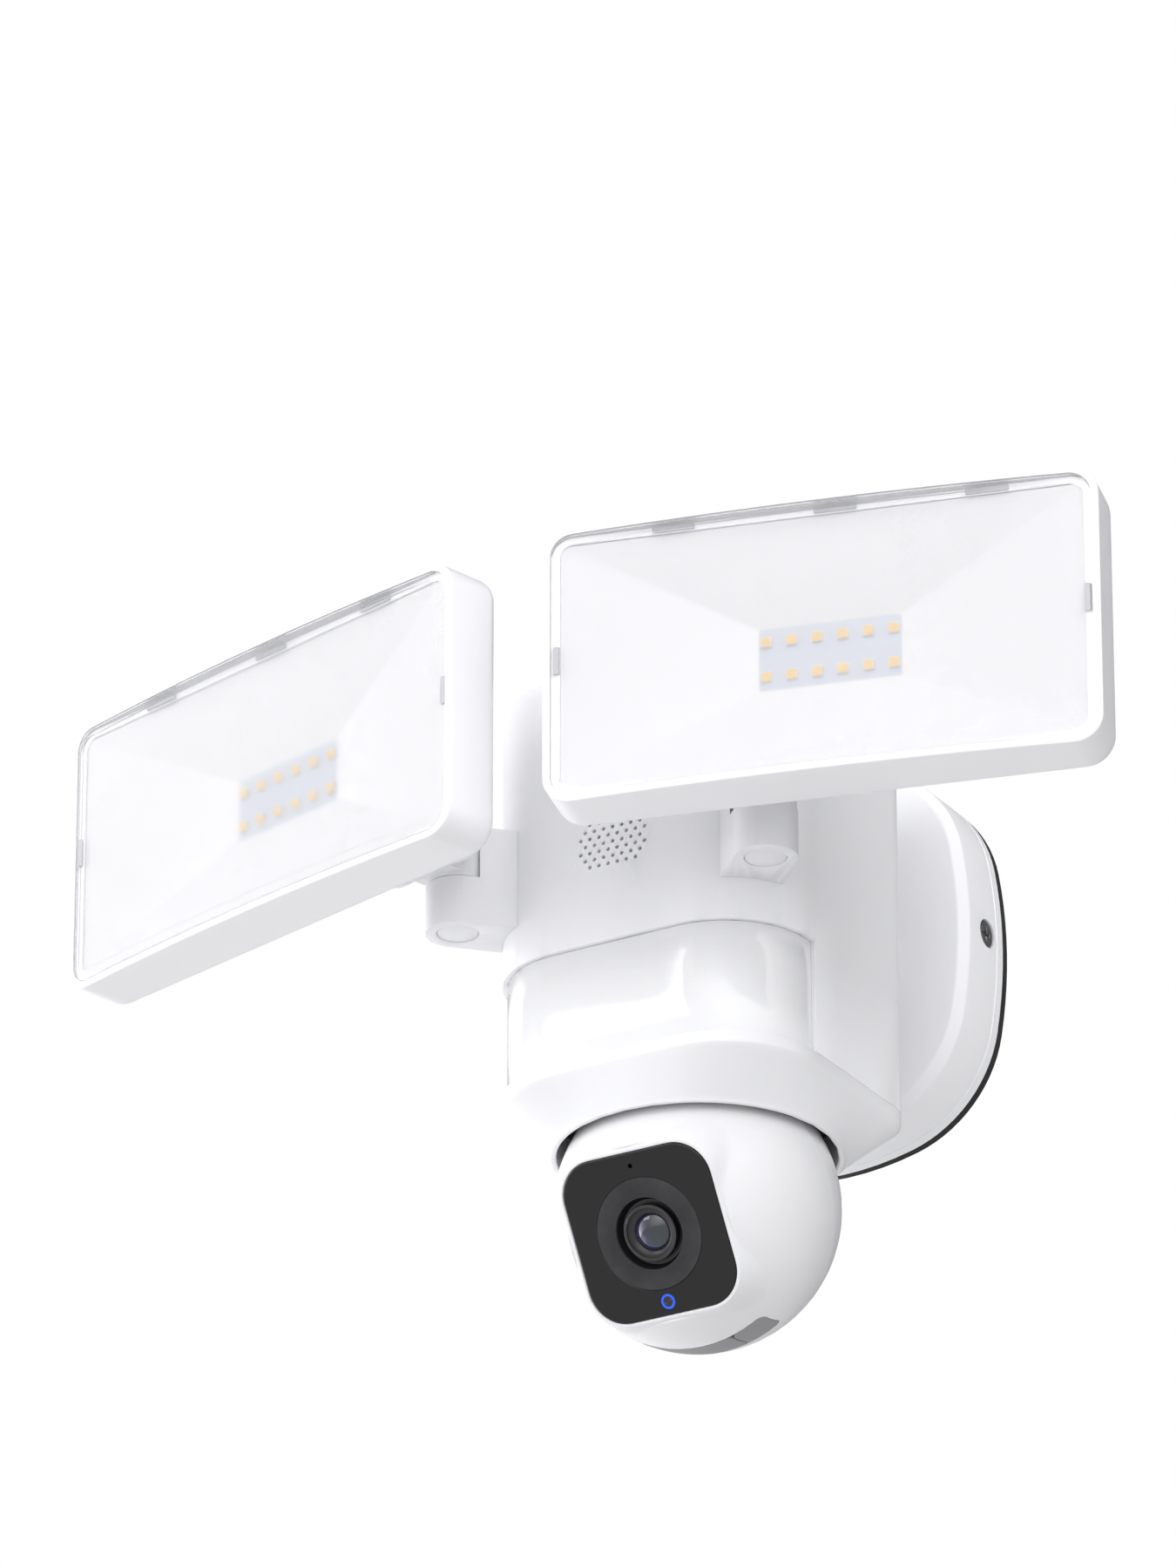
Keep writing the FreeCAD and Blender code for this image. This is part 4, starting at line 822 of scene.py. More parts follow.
# ------------------------------------------------------------------ base
@dataclass
class BaseUnit:
    """The wall gasket, rear ring and cover, with the screws on the cover's sides."""

    half: float = node_span("base_cover", 0)[1]
    low: float = node_span("base_cover", 2)[0]
    high: float = node_span("base_cover", 2)[1]
    front: float = node_span("base_cover", 1)[0]
    seam: float = node_span("base_cover", 1)[1]
    gasket_front: float = node_span("wall_gasket", 1)[0]
    corner: float = 40.6
    bow: float = 1.75
    wall: float = 3.0
    bevel: float = 2.8
    edge: float = 0.35
    neck_hole: float = 24.15
    screw_y: float = -13.0
    screw_z: float = 8.0

    def outline(self, inset: float) -> list[Point]:
        """The base's outline moved in by an inset: bowed sides that run into round corners.

        Args:
            inset: distance moved in, in millimetres.

        Returns:
            The outline's points, in order.
        """
        rise, tall = (self.high + self.low) / 2, (self.high - self.low) / 2
        reach = self.corner + self.bow
        x, z = self.half - reach, tall - reach
        upright = (reach ** 2 + z ** 2 - self.corner ** 2) / (2 * self.bow)
        flat = (reach ** 2 + x ** 2 - self.corner ** 2) / (2 * self.bow)
        lean, dip = math.asin(z / (upright - self.corner)), math.asin(x / (flat - self.corner))
        quarter = math.pi / 2
        arcs = ((self.half - upright, 0.0, upright, -lean, lean, 10),
                (x, z, self.corner, lean, quarter - dip, 14),
                (0.0, tall - flat, flat, quarter - dip, quarter + dip, 8),
                (-x, z, self.corner, quarter + dip, math.pi - lean, 14))
        points: list[Point] = []
        for turn in (0.0, math.pi):
            for across, up, radius, start, stop, steps in arcs:
                for step in range(steps):
                    angle = start + (stop - start) * step / steps
                    spot = Vector((across + (radius - inset) * math.cos(angle),
                                   up + (radius - inset) * math.sin(angle)))
                    spot = Matrix.Rotation(turn, 2) @ spot
                    points.append((spot.x, spot.y + rise))
        return points

    def band(self, name: str, outer: float, inner: float, back: float, front: float,
             edge: float) -> bpy.types.Object:
        """A closed band of the outline between two depths, with softened edges.

        Args:
            name: the object's name.
            outer: inset of the outer face.
            inner: inset of the inner face.
            back: depth of the back face.
            front: depth of the front face.
            edge: size of the softened edges.

        Returns:
            The band.
        """
        steps = ((outer + edge, back), (outer, back - edge), (outer, front + edge),
                 (outer + edge, front), (inner - edge, front), (inner, front + edge),
                 (inner, back - edge), (inner - edge, back))
        rings = [facing_front(self.outline(inset), y) for inset, y in steps]
        return loft(name, rings, closed=True)

    def build_cover(self) -> bpy.types.Object:
        """The cup-shaped cover with its bevelled front, neck hole and screw seats.

        Returns:
            The cover.
        """
        flat = self.front
        bevel_back = flat + self.bevel
        steps = [(self.edge, self.seam - 0.06), (0.0, self.seam - 0.06 - self.edge),
                 (0.0, bevel_back + 0.5), (0.12, bevel_back + 0.1), (0.4, bevel_back - 0.25),
                 (self.bevel - 0.5, flat + 0.38), (self.bevel - 0.1, flat + 0.1),
                 (self.bevel + 0.45, flat), (self.half * 0.3, flat)]
        rings = [facing_front(self.outline(inset), y) for inset, y in steps]
        plain = self.outline(0.0)
        hole = drawn_to_circle(plain, self.neck_hole)
        rings += [facing_front(hole, flat), facing_front(hole, flat + self.wall)]
        rings += [facing_front(self.outline(self.wall + 6), flat + self.wall),
                  facing_front(self.outline(self.wall), flat + self.wall + 2),
                  facing_front(self.outline(self.wall), self.seam - 0.06)]
        cover = loft("cover", rings, closed=True)
        tools = []
        for across in (-1, 1):
            start = Vector((across * (self.half - 2.2), self.screw_y, self.screw_z))
            tools.append(peg(4.6, start, start + Vector((across * 6, 0, 0)), count=48))
            tools.append(peg(2.3, start - Vector((across * 6, 0, 0)),
                             start + Vector((across, 0, 0))))
        carve(cover, tools)
        return cover

    def build(self) -> None:
        """Build and dress the base."""
        cover = self.build_cover()
        finish_piece(cover, "base_cover_piece", "housing", MATERIALS["white_shell"],
                     "white_shell", "base_cover")
        ring = self.band("ring", 0.0, self.wall, self.gasket_front - 0.03, self.seam + 0.08, 0.3)
        finish_piece(ring, "base_ring_piece", "housing", MATERIALS["white_shell"],
                     "white_shell", "base_rear_ring")
        gasket = self.band("gasket", 0.15, 5.15, 0.0, self.gasket_front + 0.02, 0.3)
        finish_piece(gasket, "gasket_piece", "housing", MATERIALS["black_foam"],
                     "foam_black", "wall_gasket")
        for node, width in (("mounting_bracket", 0.3), ("ground_screw", 0.25),
                            ("neck_lock_nuts", 0.4)):
            refine_and_dress(node, width, "zinc_steel", "steel")
        refine_and_dress("base_side_screws", 0.2, "dark_steel", "steel")
        refine_and_dress("terminal_block", 0.4, "dark_plastic", "dark_plastic")
        refine_and_dress("neck", 0.6, "white_shell", "white_shell", 3)


# ------------------------------------------------------------------ column
@dataclass
class Column:
    """The camera column: housing, sensor window, hatch, skirt and what shows through them."""

    half: float = node_span("column_skirt", 0)[1]
    front: float = node_span("column_skirt", 1)[0]
    back: float = node_span("main_housing", 1)[1]
    top: float = node_span("main_housing", 2)[1]
    bottom: float = node_span("main_housing", 2)[0]
    window_top: float = node_span("sensor_window", 2)[1]
    window_end: float = node_span("sensor_window", 1)[1]
    rim: float = node_span("column_skirt", 2)[0]
    front_corner: float = 30.0
    back_corner: float = 13.0
    top_round: float = 4.0
    wall: float = 2.4
    window_sink: float = 1.5
    skirt_edge: float = -71.0
    mouth: float = 42.1
    mouth_y: float = -93.1
    rim_lip: float = 1.8

    def outline(self, inset: float) -> list[Point]:
        """The column's plan moved in by an inset, with a point at each end of the window.

        Args:
            inset: distance moved in, in millimetres.

        Returns:
            The outline's points, in order.
        """
        side, front, back = self.half - inset, self.front + inset, self.back - inset
        wide, tight = self.front_corner - inset, self.back_corner - inset
        corners = [(-side, front, wide), (side, front, wide), (side, self.window_end, 0.0),
                   (side, back, tight), (-side, back, tight), (-side, self.window_end, 0.0)]
        return rounded_outline(corners, arc_steps=16, side_steps=4)

    def in_window(self, middle: Vector) -> bool:
        """True where the window takes the housing's place."""
        return middle.y < self.window_end and middle.z < self.window_top

    def build_housing(self) -> bpy.types.Object:
        """The housing's shell with a round top edge, the window's opening and the hatch's.

        Returns:
            The housing.
        """
        rings = [lying(self.outline(0.0), z) for z in
                 (self.bottom, self.window_top, self.window_top + 14, 12.0, 30.0,
                  self.top - self.top_round)]
        for step in range(1, 7):
            turn = math.pi / 2 * step / 6
            inset = self.top_round * (1 - math.cos(turn))
            rings.append(lying(self.outline(inset),
                               self.top - self.top_round * (1 - math.sin(turn))))
        rings.append(lying(self.outline(self.top_round + 5), self.top))
        shell = loft("housing", rings, keep=lambda middle: not self.in_window(middle))
        self.cap_top(shell)
        thicken(shell, self.wall)
        tools = [slab(38.0, 48.0, 7.0, self.back - 5, self.back + 5, centre=(0.0, 2.0))]
        tools.append(self.grille_tool())
        carve(shell, tools)
        bevel(shell, 0.3, 2, 50.0)
        return shell

    def cap_top(self, shell: bpy.types.Object) -> None:
        """Close the housing's top with one flat face.

        Args:
            shell: the housing, open at the top.
        """
        work = bmesh.new()
        work.from_mesh(shell.data)
        open_edges = [edge for edge in work.edges if edge.is_boundary
                      and min(vert.co.z for vert in edge.verts) > (self.top - 0.01) * MM]
        bmesh.ops.contextual_create(work, geom=open_edges)
        bmesh.ops.recalc_face_normals(work, faces=work.faces)
        work.to_mesh(shell.data)
        work.free()
        soften_shading(shell)

    def grille_tool(self) -> bpy.types.Object:
        """The speaker's staggered holes as one cutting tool.

        Returns:
            The cutting tool.
        """
        pins = []
        for row, count in enumerate((6, 7, 8, 7, 8, 7, 6)):
            for step in range(count):
                x = (step - (count - 1) / 2) * 3.14
                z = 0.5 + (row - 3) * 2.33
                pins.append(peg(0.66, Vector((x, self.front - 2, z)),
                                Vector((x, self.front + 6, z)), count=14))
        return merge("grille_tool", pins)

    def build_window(self) -> bpy.types.Object:
        """The glossy band that wraps the column's front.

        Returns:
            The window.
        """
        gap = 0.08
        rings = [lying(self.outline(self.window_sink), z)
                 for z in (self.bottom + gap, self.bottom + 12, self.window_top - 12,
                           self.window_top - gap)]
        band = loft("window", rings, keep=lambda middle: middle.y < self.window_end)
        thicken(band, self.wall)
        bevel(band, 0.2, 2, 50.0)
        return band

    def build_skirt(self) -> bpy.types.Object:
        """The ring under the window, drawn in to the ball's round mouth.

        Returns:
            The skirt.
        """
        plain = self.outline(0.0)
        rings = [lying(self.outline(5.6), self.bottom), lying(self.outline(0.5), self.bottom),
                 lying(self.outline(0.12), self.bottom - 0.12), lying(plain, self.bottom - 0.5),
                 lying(plain, self.skirt_edge + 0.5), lying(self.outline(0.06), self.skirt_edge)]

        def mouth_ring(radius: float, z: float) -> Ring:
            """The outline drawn to a circle round the mouth, at a height."""
            moved = [(x, y - self.mouth_y) for x, y in plain]
            return [Vector((x, y + self.mouth_y, z)) for x, y in drawn_to_circle(moved, radius)]

        outer = self.mouth + self.rim_lip
        high = lying(self.outline(0.25), self.skirt_edge - 0.35)
        low = mouth_ring(outer, self.rim + 0.5)
        for step in range(13):
            share = step / 12
            rings.append([a.lerp(b, share) for a, b in zip(high, low)])
        rings += [mouth_ring(outer - 0.15, self.rim + 0.14), mouth_ring(outer - 0.5, self.rim),
                  mouth_ring(self.mouth + 0.4, self.rim), mouth_ring(self.mouth, self.rim + 0.4),
                  mouth_ring(self.mouth, self.skirt_edge + 1)]
        return loft("skirt", rings, closed=True)

    def build(self) -> None:
        """Build and dress the column."""
        white = MATERIALS["white_shell"]
        finish_piece(self.build_housing(), "housing_piece", "housing", white, "white_shell",
                     "main_housing")
        finish_piece(self.build_window(), "window_piece", "housing", MATERIALS["window_gloss"],
                     "window_gloss", "sensor_window")
        finish_piece(self.build_skirt(), "skirt_piece", "housing", white, "white_shell",
                     "column_skirt")
        refine_and_dress("rear_hatch", 0.4, "white_shell", "white_shell")
        refine_and_dress("rear_hatch_screws", 0.2, "zinc_steel", "steel")
        refine_and_dress("pan_frame", 0.3, "dark_plastic", "dark_plastic")
        refine_and_dress("motion_sensor", 0.3, "dark_plastic", "dark_plastic")
        refine_and_dress("speaker", 0.3, "dark_plastic", "dark_plastic")
        refine_and_dress("main_board", 0.2, "circuit_board", "circuit_board")
        refine_and_dress("power_board", 0.2, "circuit_board", "circuit_board")
        dress_node("speaker_mesh", "black_mesh")
        dress_node("pan_bearing", "zinc_steel")
        dress_node("pan_motor", "motor_can")


# ------------------------------------------------------------------ arms and hinges
@dataclass
class LightArm:
    """One light's arm, cap, bolt, swivel and tilt pin."""

    side: Side
    edge: float = 0.5

    def build(self) -> None:
        """Build and dress the arm and hinge."""
        name = self.side.value
        for node in ("light_arm", "swivel"):
            refine_and_dress(f"{name}_{node}", self.edge, "white_shell", "white_shell", 3)
        refine_and_dress(f"{name}_pivot_cap", 0.35, "white_shell", "white_shell", 3)
        refine_and_dress(f"{name}_pivot_bolt", 0.3, "zinc_steel", "steel")
        refine_and_dress(f"{name}_tilt_pin", 0.4, "zinc_steel", "steel")


# ------------------------------------------------------------------ floodlights
@dataclass
class Floodlight:
    """One floodlight, built in its own frame: the origin is the lens corners' plane, front -Y."""

    side: Side
    width: float = 163.0
    height: float = 84.5
    corner: float = 6.7
    bow: float = 1050.0
    rim: float = 2.35
    depth: float = 20.0
    outer_corner: float = 9.0
    back_round: float = 4.0
    lens_gauge: float = 2.0
    seal_gauge: float = 0.8
    seal_band: float = 2.4
    tray_border: float = 3.6
    tray_depth: float = 10.6
    board: Point = (47.0, 24.0)
    pivot_inset: float = 50.9
    hinge_clear: float = 20.4
    hinge_rise: float = 22.55
    ear_radius: float = 8.5
    ear_gauge: float = 5.0
    ear_at: float = 12.4

    def __post_init__(self) -> None:
        """Work out the light's frame from its tilt joint."""
        joints = {joint["name"]: joint for joint in frame["record"]["behaviour"]["joints"]}
        joint = joints[f"{self.side.value}_light_tilt"]
        across = Vector(joint["axis"]) * self.side.sign
        if self.side is Side.LEFT:
            across = -across
        up = Vector((0, 0, 1))
        outwards = Vector(joint["axis"])
        back = up.cross(outwards)
        turn = Matrix((outwards, back, up)).transposed()
        self.hinge_back = self.depth + self.hinge_clear
        self.hinge_across = self.side.sign * (self.pivot_inset - self.width / 2)
        self.hinge_up = self.hinge_rise - self.height / 2
        local = Vector((self.hinge_across, self.hinge_back, self.hinge_up)) * MM
        origin = Vector(joint["pos_m"]) - turn @ local
        self.place = Matrix.Translation(origin) @ turn.to_4x4() @ WORLD
        self.body = f"{self.side.value}_light"

    def bowed(self, outline: Sequence[Point], y: float, share: float = 1.0) -> Ring:
        """An outline that follows the lens's bow.

        Args:
            outline: the outline's x and z.
            y: the depth at the lens's side edges.
            share: how much of the bow is followed.

        Returns:
            The ring.
        """
        edge = math.sqrt(self.bow ** 2 - (self.width / 2) ** 2)
        ring = []
        for x, z in outline:
            rise = max(math.sqrt(self.bow ** 2 - x ** 2) - edge, -0.2)
            ring.append(Vector((x, y - share * rise, z)))
        return ring

    def outline(self, grow: float, radius: float) -> list[Point]:
        """The lens's outline grown by an amount, with stations along its sides."""
        return box_outline(self.width / 2 + grow, self.height / 2 + grow, radius, 10, 16)

    def build_housing(self) -> bpy.types.Object:
        """The bowed case with its front rim, rounded back and two hinge ears.

        Returns:
            The housing.
        """
        rings = []
        for step in range(7):
            turn = math.pi / 2 * step / 6
            inset = self.back_round * (1 - math.sin(turn))
            y = self.depth - self.back_round * (1 - math.cos(turn))
            rings.append(facing_front(self.outline(self.rim - inset, self.outer_corner - inset), y))
        for y in (12.0, 6.0, 1.5):
            rings.append(facing_front(self.outline(self.rim, self.outer_corner), y))
        lip = 0.45
        rings += [self.bowed(self.outline(self.rim, self.outer_corner), lip),
                  self.bowed(self.outline(self.rim - 0.12, self.outer_corner - 0.12), 0.14),
                  self.bowed(self.outline(self.rim - lip, self.outer_corner - lip), 0.0),
                  self.bowed(self.outline(lip - 0.1, self.corner + lip - 0.1), 0.0),
                  self.bowed(self.outline(0.08, self.corner + 0.08), 0.12),
                  self.bowed(self.outline(0.0, self.corner), lip)]
        ledge = self.lens_gauge + self.seal_gauge
        inner = self.outline(-self.seal_band, self.corner - self.seal_band)
        rings += [facing_front(self.outline(0.0, self.corner), ledge),
                  facing_front(inner, ledge), facing_front(inner, self.depth - 2.6)]
        case = loft("case", rings, self.place, caps=True)
        parts = [case]
        for across in (-1, 1):
            parts.append(self.build_ear(self.hinge_across + across * self.ear_at))
        return merge("case", parts)

    def build_ear(self, x: float) -> bpy.types.Object:
        """One hinge ear: a flat cheek with a round end, standing on the case's back.

        Args:
            x: the cheek's place along the hinge.

        Returns:
            The ear.
        """
        radius, back, up = self.ear_radius, self.hinge_back, self.hinge_up
        profile: list[Point] = [(self.depth - 1.5, up - radius)]
        for step in range(25):
            angle = -math.pi / 2 + math.pi * step / 24
            profile.append((back + radius * math.cos(angle), up + radius * math.sin(angle)))
        profile.append((self.depth - 1.5, up + radius))
        half = self.ear_gauge / 2
        rings = [[Vector((x + side, y, z)) for y, z in profile] for side in (-half, half)]
        ear = loft("ear", rings, self.place, caps=True)
        bevel(ear, 0.6, 3, 50.0)
        return ear

    def build_lens(self) -> bpy.types.Object:
        """The bowed lens with a groove round its border.

        Returns:
            The lens.
        """
        gap, groove, width, depth = 0.15, 3.3, 0.45, 0.3
        steps = ((0.55, 0.55), (gap + 0.1, 0.42), (gap + 0.35, 0.12), (gap + 0.8, 0.0),
                 (groove - width, 0.0), (groove - width / 2, depth * 0.8), (groove, depth),
                 (groove + width / 2, depth * 0.8), (groove + width, 0.0))
        rings = [self.bowed(self.outline(-inset, max(self.corner - inset, 1.4)), y)
                 for inset, y in steps[1:]]
        last = self.outline(-(groove + width), self.corner - groove - width)
        shares = (0.93, 0.8, 0.6, 0.4, 0.2, 0.05)
        fronts = [[(x * share, z * share) for x, z in last] for share in shares]
        rings += [self.bowed(outline, 0.0) for outline in fronts]
        lens_front = list(reversed(rings))
        plain = self.outline(-gap, self.corner - gap)
        backs = [[(x * share, z * share) for x, z in plain] for share in (1.0, *shares)]
        lens_back = [self.bowed(outline, self.lens_gauge) for outline in backs]
        return loft("lens", lens_front + lens_back, self.place, caps=True)

    def build_seal(self) -> bpy.types.Object:
        """The soft ring that the lens is pressed against.

        Returns:
            The seal.
        """
        back = self.lens_gauge + self.seal_gauge
        outer = self.outline(-0.4, self.corner - 0.4)
        inner = self.outline(-self.seal_band, self.corner - self.seal_band)
        rings = [facing_front(outer, back - 0.02), facing_front(outer, self.lens_gauge + 0.05),
                 facing_front(inner, self.lens_gauge + 0.05), facing_front(inner, back - 0.02)]
        return loft("seal", rings, self.place, closed=True)

    def build_clips(self) -> bpy.types.Object:
        """The clips that show through the lens's border: three above, one at each side.

        Returns:
            The clips as one object.
        """
        parts = []
        rise, reach = self.height / 2 - 1.7, self.width / 2 - 1.7
        for x in (-0.27 * self.width, 0.03 * self.width, 0.31 * self.width):
            parts.append(slab(6.5, 0.8, 0.4, 0.9, 1.6, self.place, (x, rise)))
        for across in (-1, 1):
            parts.append(slab(0.8, 4.5, 0.4, 0.9, 1.6, self.place, (across * reach, 2.0)))
        return merge("clips", parts)

    def build_tray(self) -> bpy.types.Object:
        """The reflector: four flat slopes down to the LED board.

        Returns:
            The reflector.
        """
        start = self.lens_gauge + self.seal_gauge + 0.1
        stop = start + self.tray_depth
        half_x, half_z = self.width / 2 - self.tray_border, self.height / 2 - self.tray_border
        small_x, small_z = self.board[0] / 2 - 2, self.board[1] / 2 - 2
        shapes = ((half_x + 1, half_z + 1, 3.5, start), (half_x, half_z, 2.5, start),
                  (small_x, small_z, 1.0, stop), (small_x + 1, small_z + 1, 2.0, stop))
        rings = [facing_front(box_outline(x, z, radius, 8), y) for x, z, radius, y in shapes]
        return loft("tray", rings, self.place, closed=True)

    def build_board(self) -> bpy.types.Object:
        """The white LED board."""
        front = self.lens_gauge + self.seal_gauge + 0.1 + self.tray_depth
        return slab(self.board[0] / 2, self.board[1] / 2, 1.0, front, front + 1.6, self.place)

    def build_leds(self, phosphor: bool) -> bpy.types.Object:
        """The LEDs' square packages, or the round phosphor caps on them.

        Args:
            phosphor: True for the caps and False for the packages.

        Returns:
            All of them as one object.
        """
        front = self.lens_gauge + self.seal_gauge + 0.1 + self.tray_depth
        parts = []
        for across in (-2.5, -1.5, -0.5, 0.5, 1.5, 2.5):
            for up in (-0.5, 0.5):
                spot = (across * 7.7, up * 11.2)
                if phosphor:
                    parts.append(slab(1.45, 1.45, 0.7, front - 0.72, front - 0.4, self.place, spot))
                else:
                    parts.append(slab(1.7, 1.7, 0.25, front - 0.6, front, self.place, spot))
        return merge("leds", parts)

    def build(self) -> None:
        """Build and dress the light."""
        name = self.side.value
        pieces = (
            (self.build_housing(), "case", "white_light_shell", "white_shell", "light_housing"),
            (self.build_lens(), "lens", "frosted_lens", "frosted_lens", "light_lens"),
            # the seal's faint glow is painted light on the shaded lens border
            (self.build_seal(), "seal", "seal_painted_glow", "grey_rubber", "lens_seal"),
            (self.build_tray(), "tray", "reflector_white", "reflector_white", "reflector"),
            (self.build_board(), "board", "led_board_white", "led_board", "led_board"),
            (self.build_leds(False), "led_packages", "led_package", "led_board", "leds"),
            (self.build_leds(True), "led_phosphors", "led_phosphor", "led_phosphor", None),
            (self.build_clips(), "clips", "clip_grey", "grey_rubber", None))
        for obj, label, finish, slot, node in pieces:
            nodes = (f"{name}_{node}",) if node else ()
            finish_piece(obj, f"{name}_{label}_piece", self.body, MATERIALS[finish], slot, *nodes)


# ------------------------------------------------------------------ camera ball
@dataclass
class CameraBall:
    """The tilting camera ball, built in the lens's frame: the origin is its centre, front -Y."""

    radius: float = 42.9
    wall: float = 3.2
    pitch: float = 32.0
    split: float = 5.0
    face_half: float = 24.75
    face_corner: float = 11.26
    face_front: float = 34.0
    face_gauge: float = 2.6
    face_lip: float = 1.4
    sink: float = 0.3
    bezel: float = 17.0
    well: float = 11.8
    barrel: float = 8.6
    glass: float = 5.4
    well_depth: float = 3.2
    detail_up: float = 20.8
    slot_half: float = 8.2
    slot_back: float = 47.0
    slot_front: float = 23.0
    flap_angle: float = 69.5
    flap_end: float = 20.95
    flap_half: float = 6.25

    def __post_init__(self) -> None:
        """Work out the ball's frame from its tilt joint."""
        joints = {joint["name"]: joint for joint in frame["record"]["behaviour"]["joints"]}
        centre = Vector(joints["head_tilt"]["pos_m"])
        turn = Matrix.Rotation(math.radians(self.pitch), 4, "X")
        self.place = Matrix.Translation(centre) @ turn @ WORLD

    def face_outline(self, grow: float) -> list[Point]:
        """The face's rounded square, grown by an amount."""
        half = self.face_half + grow
        return box_outline(half, half, max(self.face_corner + grow, 0.5), 14, 10)

    def ball_ring(self, radius: float, angle: float) -> Ring:
        """A ring round the ball at an angle from the front pole."""
        outline = drawn_to_circle(self.face_outline(0.0), radius * math.sin(angle))
        return facing_front(outline, -radius * math.cos(angle))

    def blend_rings(self, steps: int = 12) -> list[Ring]:
        """Rings that lead from the face's rim into the round of the ball.

        Args:
            steps: spans between the rim and the round.

        Returns:
            The rings, from the rim outwards.
        """
        start = facing_front(self.face_outline(self.face_lip), -self.face_front + self.sink + 0.55)
        rings: list[Ring] = [[] for _ in range(steps + 1)]
        for point in start:
            reach = math.hypot(point.x, point.z)
            drop = -point.y - math.sqrt(self.radius ** 2 - reach ** 2)
            spread = min(reach + 1.6 + 0.95 * drop, self.radius * 0.97)
            out = Vector((point.x / reach, 0, point.z / reach))
            far_angle = math.asin(spread / self.radius)
            end = out * spread + Vector((0, -self.radius * math.cos(far_angle), 0))
            tangent_end = out * math.cos(far_angle) + Vector((0, math.sin(far_angle), 0))
            tangent_start = (out * 0.55 + Vector((0, 0.83, 0))).normalized()
            length = (end - point).length * 0.9
            for step in range(steps + 1):
                t = step / steps
                rings[step].append(
                    point * (2 * t ** 3 - 3 * t ** 2 + 1)
                    + tangent_start * length * (t ** 3 - 2 * t ** 2 + t)
                    + end * (3 * t ** 2 - 2 * t ** 3) + tangent_end * length * (t ** 3 - t ** 2))
        return rings

    def build_front(self) -> bpy.types.Object:
        """The front shell: the face's rim flowing into the ball, open at the back and the top.

        Returns:
            The front shell.
        """
        rim_y = -self.face_front + self.sink
        seat_y = -self.face_front + self.face_gauge
        rings = [facing_front(self.face_outline(-2.2), seat_y + 2.5),
                 facing_front(self.face_outline(-2.2), seat_y),
                 facing_front(self.face_outline(0.15), seat_y),
                 facing_front(self.face_outline(0.15), rim_y + 0.25),
                 facing_front(self.face_outline(0.3), rim_y + 0.06),
                 facing_front(self.face_outline(0.5), rim_y),
                 facing_front(self.face_outline(self.face_lip - 0.5), rim_y + 0.02),
                 facing_front(self.face_outline(self.face_lip - 0.2), rim_y + 0.16)]
        blend = self.blend_rings()
        rings += blend
        last = math.acos(-self.split / self.radius)
        reach = [math.atan2(math.hypot(point.x, point.z), -point.y) for point in blend[-1]]
        for step in range(1, 15):
            share = step / 14
            ring = []
            for point, start in zip(blend[-1], reach):
                angle = start + (last - 0.004 - start) * share
                across = math.hypot(point.x, point.z)
                ring.append(Vector((point.x / across * self.radius * math.sin(angle),
                                    -self.radius * math.cos(angle),
                                    point.z / across * self.radius * math.sin(angle))))
            rings.append(ring)
        inner = self.radius - self.wall
        for step in range(9):
            angle = last - 0.004 + (0.85 - last) * step / 8
            rings.append(self.ball_ring(inner, angle))
        shell = loft("front_shell", rings, self.place, closed=True)
        carve(shell, [self.slot_tool(), self.flap_tool()])
        return shell

    def build_rear(self) -> bpy.types.Object:
        """The rear shell, open at the front and the top.

        Returns:
            The rear shell.
        """
        inner = self.radius - self.wall
        first = math.acos(-self.split / self.radius)
        outer_rings = [self.ball_ring(self.radius, first + (math.pi - 0.02 - first) * step / 16)
                       for step in range(17)]
        inner_rings = [self.ball_ring(inner, first + (math.pi - 0.02 - first) * step / 12)
                       for step in range(13)]
        rings = list(reversed(outer_rings)) + inner_rings
        shell = loft("rear_shell", rings, self.place, caps=True)
        carve(shell, [self.slot_tool()])
        return shell

    def slot_tool(self) -> bpy.types.Object:
        """The wedge that clears the turret's stem over the whole tilt.

        Returns:
            The cutting tool.
        """
        upright = 90.0 - self.pitch
        start, stop = upright - self.slot_back, upright + self.slot_front
        profile: list[Point] = [(0.0, 0.0)]
        for step in range(15):
            angle = math.radians(start + (stop - start) * step / 14)
            profile.append((60 * math.cos(angle), 60 * math.sin(angle)))
        rings = [[Vector((x, y, z)) for y, z in profile]
                 for x in (-self.slot_half, self.slot_half)]
        return loft("slot_tool", rings, self.place, caps=True)

    def flap_tool(self) -> bpy.types.Object:
        """The shallow pit that the rubber flap and button lie in.

        Returns:
            The cutting tool.
        """
        turn = Matrix.Rotation(math.radians(self.flap_angle - 90), 4, "X")
        floor = self.radius - 2.3
        outline = box_outline(self.flap_end, self.flap_half, 2.75, 8, 24)
        low = [Vector((x, y, -self.radius - 3)) for x, y in outline]
        high = [Vector((x, y, -math.sqrt(floor ** 2 - x ** 2 - y ** 2))) for x, y in outline]
        middle = [Vector((x, y * 0.02, -math.sqrt(floor ** 2 - x ** 2))) for x, y in outline]
        rings = [[turn @ point for point in ring] for ring in (low, high, middle)]
        return loft("flap_tool", rings, self.place, caps=True)

